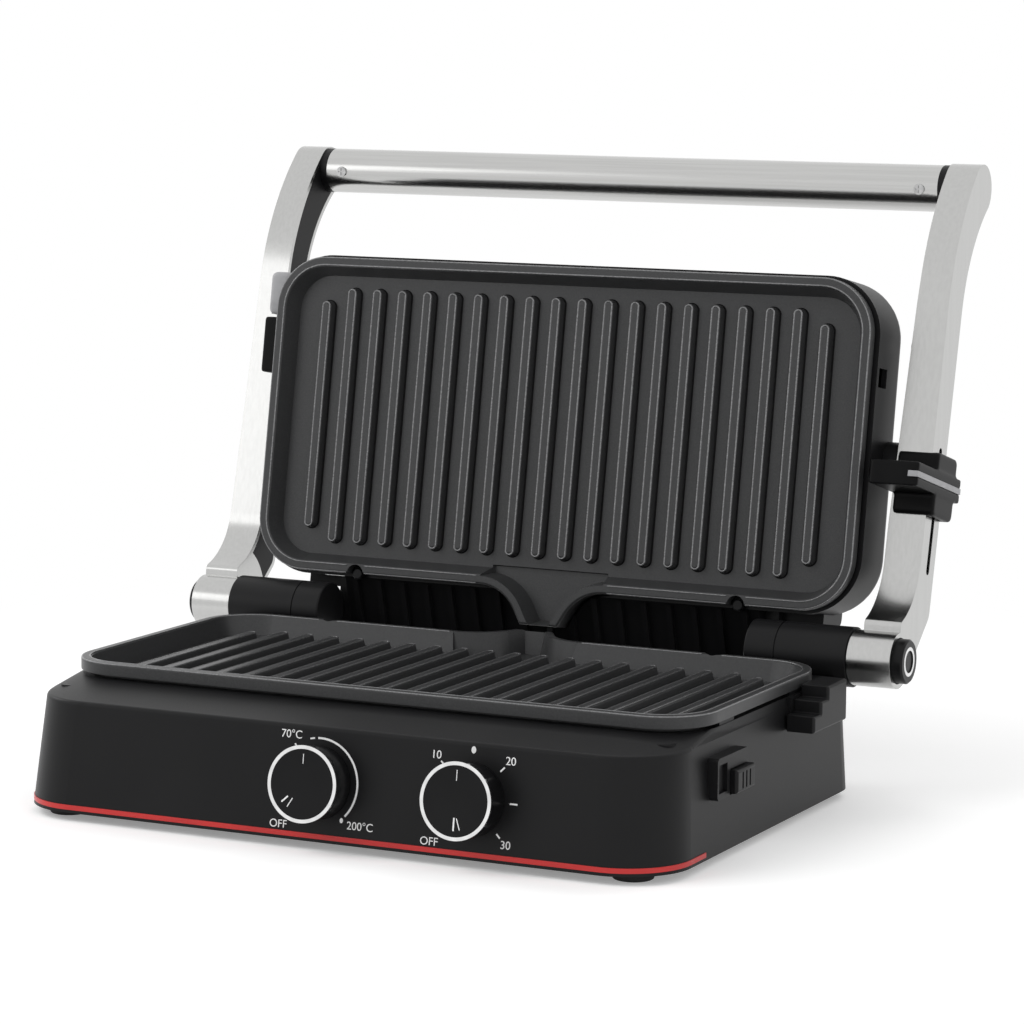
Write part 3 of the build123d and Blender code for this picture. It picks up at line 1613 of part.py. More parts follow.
def build_knob(x):
    """Turning knob with a rebate for its ring and a blind bore for its shaft."""
    with BuildPart() as knob:
        with BuildSketch(panel.offset(knob_gap)):
            with Locations((x, 0)):
                Circle(knob_back_radius)
        with BuildSketch(panel.offset(knob_height_off_panel)):
            with Locations((x, 0)):
                Circle(knob_front_radius)
        loft()
        with BuildSketch(panel.offset(knob_height_off_panel - knob_ring_depth)):
            with Locations((x, 0)):
                Circle(knob_front_radius + 1)
                Circle(knob_front_radius - knob_ring_width, mode=Mode.SUBTRACT)
        extrude(amount=knob_ring_depth, mode=Mode.SUBTRACT)
        with BuildSketch(panel.offset(knob_gap)):
            with Locations((x, 0)):
                Circle(shaft_radius + press_fit_gap)
        extrude(amount=shaft_seat - knob_gap, mode=Mode.SUBTRACT)
    return knob


def build_knob_ring(x):
    with BuildPart() as ring:
        with BuildSketch(panel.offset(knob_height_off_panel - knob_ring_depth)):
            with Locations((x, 0)):
                Circle(knob_front_radius)
                Circle(knob_front_radius - knob_ring_width + press_fit_gap, mode=Mode.SUBTRACT)
        extrude(amount=knob_ring_depth)
    return ring


def build_shaft(x):
    with BuildPart() as shaft:
        with BuildSketch(panel.offset(shaft_seat)):
            with Locations((x, 0)):
                Circle(shaft_radius)
        extrude(amount=-shaft_seat - 2 * shaft_radius - wall)
    return shaft


def build_control(x, shape, depth):
    """Control body behind the panel, with a bush through the panel for its shaft."""
    with BuildPart() as control:
        with BuildSketch(panel.offset(-panel_thickness)):
            with Locations((x, 0)):
                add(shape)
        extrude(amount=-depth)
        with BuildSketch(panel.offset(-panel_thickness)):
            with Locations((x, 0)):
                Circle(bushing_radius)
        extrude(amount=panel_thickness)
        with BuildSketch(panel):
            with Locations((x, 0)):
                Circle(shaft_radius + running_fit)
        extrude(amount=-2 * shaft_radius - wall - 1, mode=Mode.SUBTRACT)
    return control


shaft_seat = 0.6 * knob_height_off_panel
with BuildSketch() as thermostat_shape:
    RectangleRounded(thermostat_length, thermostat_height, 2)
with BuildSketch() as timer_shape:
    Circle(timer_radius)

for name, x in (("temperature", temperature_knob_x), ("timer", timer_knob_x)):
    save(build_knob(x), f"{name}_knob")
    save(build_knob_ring(x), f"{name}_knob_ring")
    save(build_shaft(x), f"{name}_shaft")
thermostat = build_control(temperature_knob_x, thermostat_shape.sketch, thermostat_depth)
save(thermostat, "thermostat")
timer_unit = build_control(timer_knob_x, timer_shape.sketch, timer_depth)
save(timer_unit, "timer_unit")

with BuildPart() as terminal_block:
    with BuildSketch(level.offset(cover_top)):
        with Locations((terminal_x, terminal_y)):
            Rectangle(terminal_length, terminal_width)
    extrude(amount=terminal_height)
    with BuildSketch(level.offset(cover_top + terminal_height)):
        with Locations((terminal_x, terminal_y)):
            with GridLocations(terminal_length / 3, 0, 3, 1):
                Circle(screw_radius)
    extrude(amount=-terminal_height / 2, mode=Mode.SUBTRACT)
save(terminal_block, "terminal_block")


def wire(points, bend):
    with BuildPart() as lead:
        with BuildLine() as lead_line:
            FilletPolyline(*points, radius=bend)
        path = lead_line.wires()[0]
        with BuildSketch(Plane(origin=path @ 0, z_dir=path % 0)):
            Circle(wire_radius)
        sweep(path=path)
    return lead.part


wire_z = parting_z + cover_top + terminal_height / 2
terminal_front_y = plate_y + terminal_y - terminal_width / 2
wire_bend = 2.2 * wire_radius
thermostat_back = panel.from_local_coords(
    Vector(temperature_knob_x - wire_end_shift, 0, -panel_thickness - thermostat_depth)
)
timer_back = panel.from_local_coords(
    Vector(timer_knob_x - wire_end_shift, 0, -panel_thickness - timer_depth)
)
with BuildPart() as base_wiring:
    for shift, target, lane in (
        (-terminal_length / 3, thermostat_back, wire_lane_gap),
        (0, timer_back, 2 * wire_lane_gap),
    ):
        lane_y = target.Y + lane
        wire_end_y = target.Y + wire_radius * sin(radians(panel_lean))
        route = [
            (terminal_x + shift, terminal_front_y, wire_z),
            (terminal_x + shift, lane_y, wire_z),
            (target.X, lane_y, wire_z),
            (target.X, lane_y, target.Z),
            (target.X, wire_end_y, target.Z),
        ]
        add(wire(route, wire_bend))
save(base_wiring, "base_wiring")
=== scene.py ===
import bpy
import json
from math import cos, radians, sin
from mathutils import Matrix, Vector

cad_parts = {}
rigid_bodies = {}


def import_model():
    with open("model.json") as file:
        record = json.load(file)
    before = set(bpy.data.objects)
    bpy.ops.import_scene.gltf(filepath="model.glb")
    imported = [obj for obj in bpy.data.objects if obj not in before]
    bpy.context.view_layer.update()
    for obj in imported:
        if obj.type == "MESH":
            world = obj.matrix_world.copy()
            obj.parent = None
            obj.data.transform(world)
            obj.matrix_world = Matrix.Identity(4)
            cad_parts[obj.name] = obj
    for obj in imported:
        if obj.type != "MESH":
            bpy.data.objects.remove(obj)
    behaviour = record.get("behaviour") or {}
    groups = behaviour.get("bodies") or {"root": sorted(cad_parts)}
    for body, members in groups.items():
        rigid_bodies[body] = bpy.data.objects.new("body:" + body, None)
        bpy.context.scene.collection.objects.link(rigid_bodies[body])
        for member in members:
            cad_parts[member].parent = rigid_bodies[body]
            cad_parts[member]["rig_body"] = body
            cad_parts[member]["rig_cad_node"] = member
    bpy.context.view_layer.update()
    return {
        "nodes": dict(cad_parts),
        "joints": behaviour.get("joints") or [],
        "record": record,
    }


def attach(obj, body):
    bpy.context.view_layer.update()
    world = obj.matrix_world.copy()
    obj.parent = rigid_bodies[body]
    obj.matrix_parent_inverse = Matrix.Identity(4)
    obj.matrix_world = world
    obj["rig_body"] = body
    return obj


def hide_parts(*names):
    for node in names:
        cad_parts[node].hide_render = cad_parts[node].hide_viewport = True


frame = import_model()
nodes = frame["nodes"]
print("frame loaded with", len(nodes), "nodes")


# selecting and shaping

def clearSelection():
    bpy.ops.object.select_all(action="DESELECT")


def selectOnly(*pieces):
    clearSelection()
    for piece in pieces:
        piece.select_set(True)
    bpy.context.view_layer.objects.active = pieces[0]


def openEdit(piece, mode="FACE"):
    selectOnly(piece)
    bpy.ops.object.mode_set(mode="EDIT")
    bpy.ops.mesh.select_mode(type=mode)
    bpy.ops.mesh.select_all(action="DESELECT")


def closeEdit():
    bpy.ops.object.mode_set(mode="OBJECT")


def pickVertices(piece, wanted):  # picks vertices by place while the piece is in edit mode
    bpy.ops.mesh.select_all(action="DESELECT")
    closeEdit()
    for vertex in piece.data.vertices:
        vertex.select = wanted(vertex.co)
    bpy.ops.object.mode_set(mode="EDIT")


def applyModifier(piece, modifier):
    selectOnly(piece)
    bpy.ops.object.modifier_apply(modifier=modifier.name)


edgeLook = {"segments": 3, "bevelAbove": 35, "smoothBelow": 50}  # angles in degrees


def softenEdges(piece, width):
    bevel = piece.modifiers.new("softEdges", "BEVEL")
    bevel.width = width
    bevel.segments = edgeLook["segments"]
    bevel.limit_method = "ANGLE"
    bevel.angle_limit = radians(edgeLook["bevelAbove"])
    bevel.miter_outer = "MITER_ARC"
    applyModifier(piece, bevel)
    selectOnly(piece)
    bpy.ops.object.shade_smooth_by_angle(angle=radians(edgeLook["smoothBelow"]))
    even = piece.modifiers.new("evenNormals", "WEIGHTED_NORMAL")  # keeps flat faces flat
    even.keep_sharp = True
    applyModifier(piece, even)


copyLook = {"weld": 0.00001, "flatBelow": 0.5}  # metres, degrees


def copyOfNode(nodeName, name):  # a welded copy of a CAD node, with flat faces joined
    selectOnly(nodes[nodeName])
    bpy.ops.object.duplicate()
    piece = bpy.context.active_object
    piece.name = name
    piece.data.name = name
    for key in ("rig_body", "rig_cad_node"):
        if key in piece:
            del piece[key]
    bpy.ops.object.parent_clear(type="CLEAR_KEEP_TRANSFORM")
    bpy.ops.object.mode_set(mode="EDIT")
    bpy.ops.mesh.select_all(action="SELECT")
    bpy.ops.mesh.remove_doubles(threshold=copyLook["weld"])
    bpy.ops.mesh.dissolve_limited(angle_limit=radians(copyLook["flatBelow"]))
    closeEdit()
    return piece


def joinPieces(pieces, name):
    selectOnly(*pieces)
    bpy.ops.object.join()
    joined = bpy.context.active_object
    joined.name = name
    joined.data.name = name
    return joined


def bakePlace(piece):  # the place goes into the mesh, the object to the origin
    selectOnly(piece)
    bpy.ops.object.transform_apply(location=True, rotation=True, scale=True)


# materials

noiseLook = {  # detail of the two noises, and the span of each that its result follows
    "toneDetail": 2.0, "grainDetail": 4.0, "toneSpan": (0.35, 0.65), "grainSpan": (0.3, 0.7),
}


def startMaterial(name):
    material = bpy.data.materials.new(name)
    material.use_nodes = True
    tree = material.node_tree
    place = tree.nodes.new("ShaderNodeTexCoord")
    return material, tree, tree.nodes["Principled BSDF"], place


def addNoise(tree, place, scale, detail, stretch, turn):
    mapping = tree.nodes.new("ShaderNodeMapping")
    mapping.inputs["Scale"].default_value = stretch
    mapping.inputs["Rotation"].default_value = turn
    noise = tree.nodes.new("ShaderNodeTexNoise")
    noise.inputs["Scale"].default_value = scale
    noise.inputs["Detail"].default_value = detail
    tree.links.new(place.outputs["Object"], mapping.inputs["Vector"])
    tree.links.new(mapping.outputs["Vector"], noise.inputs["Vector"])
    return noise


def colorFrom(tree, noise, shader, dark, light):
    ramp = tree.nodes.new("ShaderNodeValToRGB")
    for stop, edge, color in zip(ramp.color_ramp.elements, noiseLook["toneSpan"], (dark, light)):
        stop.position = edge
        stop.color = (*color, 1)
    tree.links.new(noise.outputs["Fac"], ramp.inputs["Fac"])
    tree.links.new(ramp.outputs["Color"], shader.inputs["Base Color"])


def roughnessFrom(tree, noise, shader, smooth, rough):
    spread = tree.nodes.new("ShaderNodeMapRange")
    spread.inputs["From Min"].default_value = noiseLook["grainSpan"][0]
    spread.inputs["From Max"].default_value = noiseLook["grainSpan"][1]
    spread.inputs["To Min"].default_value = smooth
    spread.inputs["To Max"].default_value = rough
    tree.links.new(noise.outputs["Fac"], spread.inputs["Value"])
    tree.links.new(spread.outputs["Result"], shader.inputs["Roughness"])


def bumpFrom(tree, noise, shader, strength, distance):
    bump = tree.nodes.new("ShaderNodeBump")
    bump.inputs["Strength"].default_value = strength
    bump.inputs["Distance"].default_value = distance
    tree.links.new(noise.outputs["Fac"], bump.inputs["Height"])
    tree.links.new(bump.outputs["Normal"], shader.inputs["Normal"])


def makeMaterial(name, look):  # one finish from its settings: tone, grain and gloss
    material, tree, shader, place = startMaterial(name)
    shader.inputs["Metallic"].default_value = look.get("metallic", 0.0)
    shader.inputs["Specular IOR Level"].default_value = look.get("specular", 0.5)
    stretch = look.get("stretch", (1, 1, 1))
    turn = look.get("turn", (0, 0, 0))
    tone = addNoise(tree, place, look["toneScale"], noiseLook["toneDetail"], stretch, turn)
    grain = addNoise(tree, place, look["grainScale"], noiseLook["grainDetail"], stretch, turn)
    colorFrom(tree, tone, shader, look["dark"], look["light"])
    roughnessFrom(tree, grain, shader, *look["roughness"])
    if look.get("bump"):
        bumpFrom(tree, grain, shader, look["bump"], look["bumpDepth"])
    material.diffuse_color = (*look["light"], 1)
    return material


armTurn = (radians(14.66), 0, 0)  # the arms lean back by this much
looks = {
    "shellBlack": {
        "dark": (0.0060, 0.0060, 0.0065), "light": (0.0085, 0.0085, 0.0090),
        "toneScale": 14, "grainScale": 2600, "roughness": (0.36, 0.43), "specular": 0.17,
        "bump": 0.12, "bumpDepth": 0.0001,
    },
    "controlBlack": {
        "dark": (0.0045, 0.0045, 0.0050), "light": (0.0065, 0.0065, 0.0070),
        "toneScale": 30, "grainScale": 3200, "roughness": (0.28, 0.36), "specular": 0.15,
        "bump": 0.06, "bumpDepth": 0.0001,
    },
    "grillCoating": {
        "dark": (0.036, 0.0365, 0.0375), "light": (0.048, 0.0485, 0.0495),
        "toneScale": 1800, "grainScale": 2400, "roughness": (0.30, 0.40), "specular": 0.35,
        "metallic": 0.2, "bump": 0.15, "bumpDepth": 0.0001,
    },
    # lighter and glossier than the coating: the thin lines along the rib tops and rim edges take
    # this colour as a painted highlight
    "ribEdge": {
        "dark": (0.15, 0.15, 0.153), "light": (0.22, 0.22, 0.224),
        "toneScale": 900, "grainScale": 2400, "roughness": (0.22, 0.32), "specular": 0.6,
        "metallic": 0.5,
    },
    "armAluminium": {
        "dark": (0.505, 0.505, 0.498), "light": (0.525, 0.525, 0.518),
        "toneScale": 700, "grainScale": 2600, "roughness": (0.20, 0.23), "metallic": 1.0,
        "stretch": (1, 1, 0.02), "turn": armTurn, "bump": 0.004, "bumpDepth": 0.00002,
    },
    "tubeAluminium": {
        "dark": (0.52, 0.52, 0.512), "light": (0.55, 0.55, 0.542),
        "toneScale": 700, "grainScale": 2600, "roughness": (0.17, 0.21), "metallic": 1.0,
        "stretch": (0.02, 1, 1), "bump": 0.004, "bumpDepth": 0.00002,
    },
    # near-black for the moulded controls; also the beads round the rib feet, where it is painted
    # shade in the crease
    "deepBlack": {
        "dark": (0.0022, 0.0022, 0.0024), "light": (0.0034, 0.0034, 0.0036),
        "toneScale": 60, "grainScale": 3200, "roughness": (0.34, 0.42), "specular": 0.10,
        "bump": 0.05, "bumpDepth": 0.0001,
    },
    "blackedSteel": {
        "dark": (0.006, 0.006, 0.0065), "light": (0.010, 0.010, 0.0105),
        "toneScale": 60, "grainScale": 2400, "roughness": (0.35, 0.45), "specular": 0.2,
    },
    "polishedRing": {
        "dark": (0.72, 0.72, 0.72), "light": (0.84, 0.84, 0.84),
        "toneScale": 200, "grainScale": 1500, "roughness": (0.12, 0.2), "metallic": 1.0,
    },
    "stripeGrey": {
        "dark": (0.30, 0.30, 0.31), "light": (0.36, 0.36, 0.37),
        "toneScale": 120, "grainScale": 2600, "roughness": (0.4, 0.5),
    },
    "trimRed": {
        "dark": (0.50, 0.012, 0.012), "light": (0.58, 0.018, 0.016),
        "toneScale": 40, "grainScale": 1500, "roughness": (0.28, 0.36),
    },
    "footRubber": {
        "dark": (0.012, 0.012, 0.012), "light": (0.02, 0.02, 0.02),
        "toneScale": 60, "grainScale": 2200, "roughness": (0.75, 0.9),
        "bump": 0.2, "bumpDepth": 0.0001,
    },
    "plainSteel": {
        "dark": (0.42, 0.42, 0.42), "light": (0.56, 0.56, 0.56),
        "toneScale": 300, "grainScale": 2400, "roughness": (0.25, 0.4), "metallic": 1.0,
    },
    "reflectorSheet": {
        "dark": (0.50, 0.50, 0.51), "light": (0.66, 0.66, 0.67),
        "toneScale": 30, "grainScale": 1600, "roughness": (0.3, 0.5), "metallic": 1.0,
        "bump": 0.1, "bumpDepth": 0.0001,
    },
    "elementSheath": {
        "dark": (0.11, 0.10, 0.095), "light": (0.22, 0.20, 0.18),
        "toneScale": 60, "grainScale": 1500, "roughness": (0.45, 0.65), "metallic": 0.9,
        "bump": 0.1, "bumpDepth": 0.0001,
    },
    "ceramicWhite": {
        "dark": (0.60, 0.58, 0.52), "light": (0.72, 0.70, 0.64),
        "toneScale": 90, "grainScale": 1800, "roughness": (0.55, 0.7),
        "bump": 0.1, "bumpDepth": 0.0001,
    },
    "controlCasing": {
        "dark": (0.16, 0.11, 0.06), "light": (0.22, 0.16, 0.09),
        "toneScale": 50, "grainScale": 1800, "roughness": (0.4, 0.55),
    },
    "wireSleeve": {
        "dark": (0.42, 0.42, 0.40), "light": (0.66, 0.66, 0.64),
        "toneScale": 1500, "grainScale": 2600, "roughness": (0.75, 0.9),
        "bump": 0.4, "bumpDepth": 0.0002,
    },
    "printWhite": {
        "dark": (0.82, 0.82, 0.82), "light": (0.90, 0.90, 0.90),
        "toneScale": 400, "grainScale": 2400, "roughness": (0.45, 0.6),
    },
}
materials = {name: makeMaterial(name, look) for name, look in looks.items()}

slotLooks = {  # which finish each of the record's slots takes
    "black_shell": "shellBlack",
    "black_control": "controlBlack",
    "grill_coating": "grillCoating",
    "brushed_aluminium": "armAluminium",
    "bright_ring": "polishedRing",
    "grey_stripe": "stripeGrey",
    "red_trim": "trimRed",
    "foot_rubber": "footRubber",
    "steel": "plainSteel",
    "reflector_sheet": "reflectorSheet",
    "element_sheath": "elementSheath",
    "ceramic": "ceramicWhite",
    "control_casing": "controlCasing",
    "wire_sleeve": "wireSleeve",
}
nodeLooks = {"handle_tube": "tubeAluminium", "lid_pivot_pins": "blackedSteel"}  # own finishes
nodeSmoothBelow = 30  # degrees
slotOf = {row["node"]: row["material_slot"] for row in frame["record"]["subparts"]}


def dress(piece, look):
    piece.data.materials.clear()
    piece.data.materials.append(materials[look])


for nodeName, node in nodes.items():
    look = nodeLooks.get(nodeName, slotLooks[slotOf[nodeName]])
    for slot in node.material_slots:
        slot.material = materials[look]
    if not node.material_slots:
        node.data.materials.append(materials[look])
    selectOnly(node)
    bpy.ops.object.shade_smooth_by_angle(angle=radians(nodeSmoothBelow))
print("materials on all CAD nodes")


# places taken from the frame

def bodyOf(nodeName):
    return nodes[nodeName]["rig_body"]


def jointOf(name):
    return next(joint for joint in frame["joints"] if joint["name"] == name)


temperatureJoint = jointOf("temperature_turn")
timerJoint = jointOf("timer_turn")
panelIn = Vector(temperatureJoint["axis"]).normalized()
panelOut = -panelIn
panelRight = Vector((1, 0, 0))
panelUp = panelOut.cross(panelRight)


def panelFrame(center, lift):  # a matrix that lays flat work on the control panel
    turn = Matrix((panelRight, panelUp, panelOut)).transposed().to_4x4()
    return Matrix.Translation(center + panelOut * lift) @ turn


lidOut = Vector(jointOf("upper_plate_lift")["axis"]).normalized()
lidUp = lidOut.cross(Vector((1, 0, 0))).normalized()
if lidUp.z < 0:
    lidUp = -lidUp
hingePoint = Vector(jointOf("lid_hinge")["pos_m"])


def lidPoint(x, v, w):  # x across, v up the lid from the hinge, w out of its face
    return hingePoint + Vector((x, 0, 0)) + lidUp * v + lidOut * w


# softened copies of the CAD pieces that show their edges

softEdges = {  # bevel width in metres for each copied node
    "arm_left": 0.0013, "arm_right": 0.0013, "lid_housing": 0.0008,
    "height_catch": 0.0005, "lower_release_button": 0.0008, "drip_tray": 0.0003,
}
moulded = {  # voxel size in metres and smoothing steps for the pieces with round corners
    "height_slider": (0.00045, 32), "upper_release_button": (0.00036, 40),
}
mouldedFactor = 0.5  # how far each smoothing step goes


def pieceName(nodeName):
    words = nodeName.split("_")
    return words[0] + "".join(word.capitalize() for word in words[1:]) + "Soft"


for nodeName, width in softEdges.items():
    piece = copyOfNode(nodeName, pieceName(nodeName))
    softenEdges(piece, width)
    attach(piece, bodyOf(nodeName))
    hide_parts(nodeName)
print("softened", len(softEdges), "pieces")

for nodeName, (voxel, steps) in moulded.items():
    piece = copyOfNode(nodeName, pieceName(nodeName))
    remesh = piece.modifiers.new("evenSkin", "REMESH")
    remesh.mode = "VOXEL"
    remesh.voxel_size = voxel
    applyModifier(piece, remesh)
    smooth = piece.modifiers.new("roundCorners", "SMOOTH")
    smooth.factor = mouldedFactor
    smooth.iterations = steps
    applyModifier(piece, smooth)
    selectOnly(piece)
    bpy.ops.object.shade_smooth()
    dress(piece, "deepBlack")
    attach(piece, bodyOf(nodeName))
    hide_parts(nodeName)
print("rounded", len(moulded), "moulded pieces")


# dial print

printLook = {
    "thickness": 0.00012, "lineWidth": 0.0007, "letterSize": 0.0050, "dotSides": 24,
    "dotStretch": 1.4, "arcStart": 0.0001, "arcSteps": 40,
}


def addStroke(length, width, place, degrees):  # a printed line, turned clockwise from upright
    clearSelection()
    bpy.ops.mesh.primitive_plane_add(
        size=1, location=(*place, 0), rotation=(0, 0, -radians(degrees)),
    )
    stroke = bpy.context.active_object
    stroke.scale = (width, length, 1)
    bakePlace(stroke)
    return stroke


def addArc(radius, width, fromDegrees, toDegrees):  # a printed arc, clockwise from upright
    clearSelection()
    bpy.ops.mesh.primitive_plane_add(size=1, location=(0, radius, 0))
    arc = bpy.context.active_object
    arc.scale = (printLook["arcStart"], width, 1)
    bakePlace(arc)
    openEdit(arc, "VERT")
    pickVertices(arc, lambda co: co.x < 0)
    bpy.ops.mesh.delete(type="VERT")
    bpy.ops.mesh.select_all(action="SELECT")
    bpy.ops.mesh.spin(
        steps=printLook["arcSteps"], angle=radians(toDegrees - fromDegrees), center=(0, 0, 0),
        axis=(0, 0, 1),
    )
    bpy.ops.mesh.select_all(action="SELECT")
    closeEdit()
    if arc.data.polygons[0].normal.z < 0:
        openEdit(arc)
        bpy.ops.mesh.select_all(action="SELECT")
        bpy.ops.mesh.flip_normals()
        closeEdit()
    arc.rotation_euler = (0, 0, -radians(fromDegrees))
    bakePlace(arc)
    return arc


def addDot(radius, place):
    clearSelection()
    bpy.ops.mesh.primitive_circle_add(
        vertices=printLook["dotSides"], radius=radius, fill_type="NGON", location=(*place, 0),
    )
    dot = bpy.context.active_object
    dot.scale = (1, printLook["dotStretch"], 1)
    bakePlace(dot)
    return dot


def addWord(text, place):
    clearSelection()
    bpy.ops.object.text_add(location=(0, 0, 0))
    word = bpy.context.active_object
    word.data.body = text
    word.data.size = printLook["letterSize"]
    word.data.align_x = "CENTER"
    word.data.align_y = "CENTER"
    bpy.ops.object.convert(target="MESH")
    word = bpy.context.active_object
    word.location = (*place, 0)
    bakePlace(word)
    return word


def roundDial(radius, degrees):  # a place on the dial, clockwise from upright
    return radius * sin(radians(degrees)), radius * cos(radians(degrees))


temperaturePrint = {  # size, radius and angle of a mark; a stroke adds its turn
    "arc": (0.0194, 0.0009, -4, 133),  # radius, width, from and to in degrees
    "strokes": [(0.0022, 0.0194, -12, 78), (0.0018, 0.0194, -38, -38)],
    "dots": [(0.0008, 0.0198, 140)],
    "words": [("70°C", 0.0245, -36), ("200°C", 0.0278, 128), ("OFF", 0.0268, -137)],
}
timerPrint = {
    "strokes": [
        (0.0028, 0.0200, -45, -45), (0.0028, 0.0200, 45, 45), (0.0036, 0.0204, 90, 90),
        (0.0024, 0.0200, 135, 135),
    ],
    "dots": [(0.0011, 0.0212, 0)],
    "words": [("10", 0.0248, -45), ("20", 0.0252, 45), ("30", 0.0252, 135), ("OFF", 0.0270, -137)],
}


def layPrint(parts, name, joint, lift, thickness, body):  # flat marks become one raised layer
    piece = joinPieces(parts, name)
    piece.matrix_world = panelFrame(Vector(joint["pos_m"]), lift)
    bakePlace(piece)
    layer = piece.modifiers.new("printLayer", "SOLIDIFY")
    layer.thickness = thickness
    layer.offset = 1
    applyModifier(piece, layer)
    dress(piece, "printWhite")
    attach(piece, body)


def buildDialPrint(name, marks, joint):
    parts = []
    if "arc" in marks:
        parts.append(addArc(*marks["arc"]))
    for length, radius, degrees, turn in marks["strokes"]:
        parts.append(addStroke(length, printLook["lineWidth"], roundDial(radius, degrees), turn))
    for size, radius, degrees in marks["dots"]:
        parts.append(addDot(size, roundDial(radius, degrees)))
    for text, radius, degrees in marks["words"]:
        parts.append(addWord(text, roundDial(radius, degrees)))
    layPrint(parts, name, joint, 0, printLook["thickness"], "base")


buildDialPrint("temperaturePrint", temperaturePrint, temperatureJoint)
buildDialPrint("timerPrint", timerPrint, timerJoint)

pointerLook = {"lift": 0.0146, "thickness": 0.0001}  # lift from the panel to the knob's face
temperaturePointer = [  # length, width, radius, angle of place, turn
    (0.0040, 0.0007, 0.0105, -132, -132), (0.0046, 0.0004, 0.0098, -148, -148),
    (0.0042, 0.0003, 0.0110, 0, 0),
]
timerPointer = [
    (0.0056, 0.0007, 0.0098, 180, 0), (0.0052, 0.0004, 0.0098, 168, 160),
    (0.0046, 0.0003, 0.0110, 0, 0),
]


def buildPointer(name, marks, joint, body):
    parts = [
        addStroke(length, width, roundDial(radius, degrees), turn)
        for length, width, radius, degrees, turn in marks
    ]
    layPrint(parts, name, joint, pointerLook["lift"], pointerLook["thickness"], body)


buildPointer("temperaturePointer", temperaturePointer, temperatureJoint, "temperature_dial")
buildPointer("timerPointer", timerPointer, timerJoint, "timer_dial")
print("dial print and pointers placed")


# fine beads round the ribs, dark at the feet as painted shade and light along the tops as painted
# highlight, light lines along the rim edges as painted highlight, and the tabs in the notches of
# the plates

plateLook = {
    "ribCount": 20, "ribPitch": 0.0140, "ribHalfLength": 0.0636, "endHalfLength": 0.0569,
    "floorDepth": 0.0098, "footHalfWidth": 0.0038, "footBead": 0.00040,
    "ribHeight": 0.0042, "topHalfWidth": 0.00195, "topBead": 0.00050, "topInset": 0.0010,
    "notchX": 0.1015, "notchY": 0.0780, "tabRadius": 0.0027, "tabHeight": 0.0042,
    "tabDrop": 0.0050, "tabSides": 32, "tabSoft": 0.0007, "fromHinge": 0.0974,
    "edgeSink": 0.0004, "beadSteps": 24, "beadSides": 8, "middleBand": 0.00001,
}
lowerPlateFrame = Matrix.Translation((0, hingePoint.y - plateLook["fromHinge"], hingePoint.z))
upperTurn = Matrix((Vector((-1, 0, 0)), -lidUp, lidOut)).transposed().to_4x4()
upperPlateFrame = Matrix.Translation(hingePoint + lidUp * plateLook["fromHinge"]) @ upperTurn


def addRibBead(halfLength, halfWidth, thickness):  # a thin ring drawn out along a rib
    clearSelection()
    bpy.ops.mesh.primitive_torus_add(
        major_radius=halfWidth, minor_radius=thickness,
        major_segments=plateLook["beadSteps"], minor_segments=plateLook["beadSides"],
    )
    bead = bpy.context.active_object
    openEdit(bead, "VERT")
    pickVertices(bead, lambda co: co.y > plateLook["middleBand"])
    bpy.ops.transform.translate(value=(0, halfLength - halfWidth, 0))
    pickVertices(bead, lambda co: co.y < -plateLook["middleBand"])
    bpy.ops.transform.translate(value=(0, halfWidth - halfLength, 0))
    closeEdit()
    return bead


def buildRibBeads(name, plateFrame, body, halfWidth, thickness, inset, height, look):
    parts = []
    count = plateLook["ribCount"]
    for index in range(count):
        key = "endHalfLength" if index in (0, count - 1) else "ribHalfLength"
        bead = addRibBead(plateLook[key] - inset, halfWidth, thickness)
        bead.location = ((index - (count - 1) / 2) * plateLook["ribPitch"], 0, height)
        parts.append(bead)
    piece = joinPieces(parts, name)
    bakePlace(piece)
    piece.matrix_world = plateFrame @ Matrix.Translation((0, 0, -plateLook["floorDepth"]))
    bakePlace(piece)
    selectOnly(piece)
    bpy.ops.object.shade_smooth()
    dress(piece, look)
    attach(piece, body)


def buildNotchTabs(name, plateFrame, body):
    parts = []
    for side in (-1, 1):
        clearSelection()
        bpy.ops.mesh.primitive_cylinder_add(
            vertices=plateLook["tabSides"], radius=plateLook["tabRadius"],
            depth=plateLook["tabHeight"],
            location=(side * plateLook["notchX"], plateLook["notchY"], -plateLook["tabDrop"]),
        )
        tab = bpy.context.active_object
        bakePlace(tab)
        softenEdges(tab, plateLook["tabSoft"])
        parts.append(tab)
    piece = joinPieces(parts, name)
    piece.matrix_world = plateFrame
    bakePlace(piece)
    dress(piece, "controlBlack")
    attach(piece, body)


rimLook = {
    "outer": {"half": (0.15752, 0.07752), "corner": 0.02552, "height": -0.00078},
    "inner": {"half": (0.15400, 0.07400), "corner": 0.02200, "height": -0.00048},
    "bead": 0.00042, "spoutHalf": 0.0350, "notchFrom": 0.0965, "notchTo": 0.1065,
    "cornerSteps": 14, "beadResolution": 2, "reach": 0.0001, "smoothBelow": 60,
}


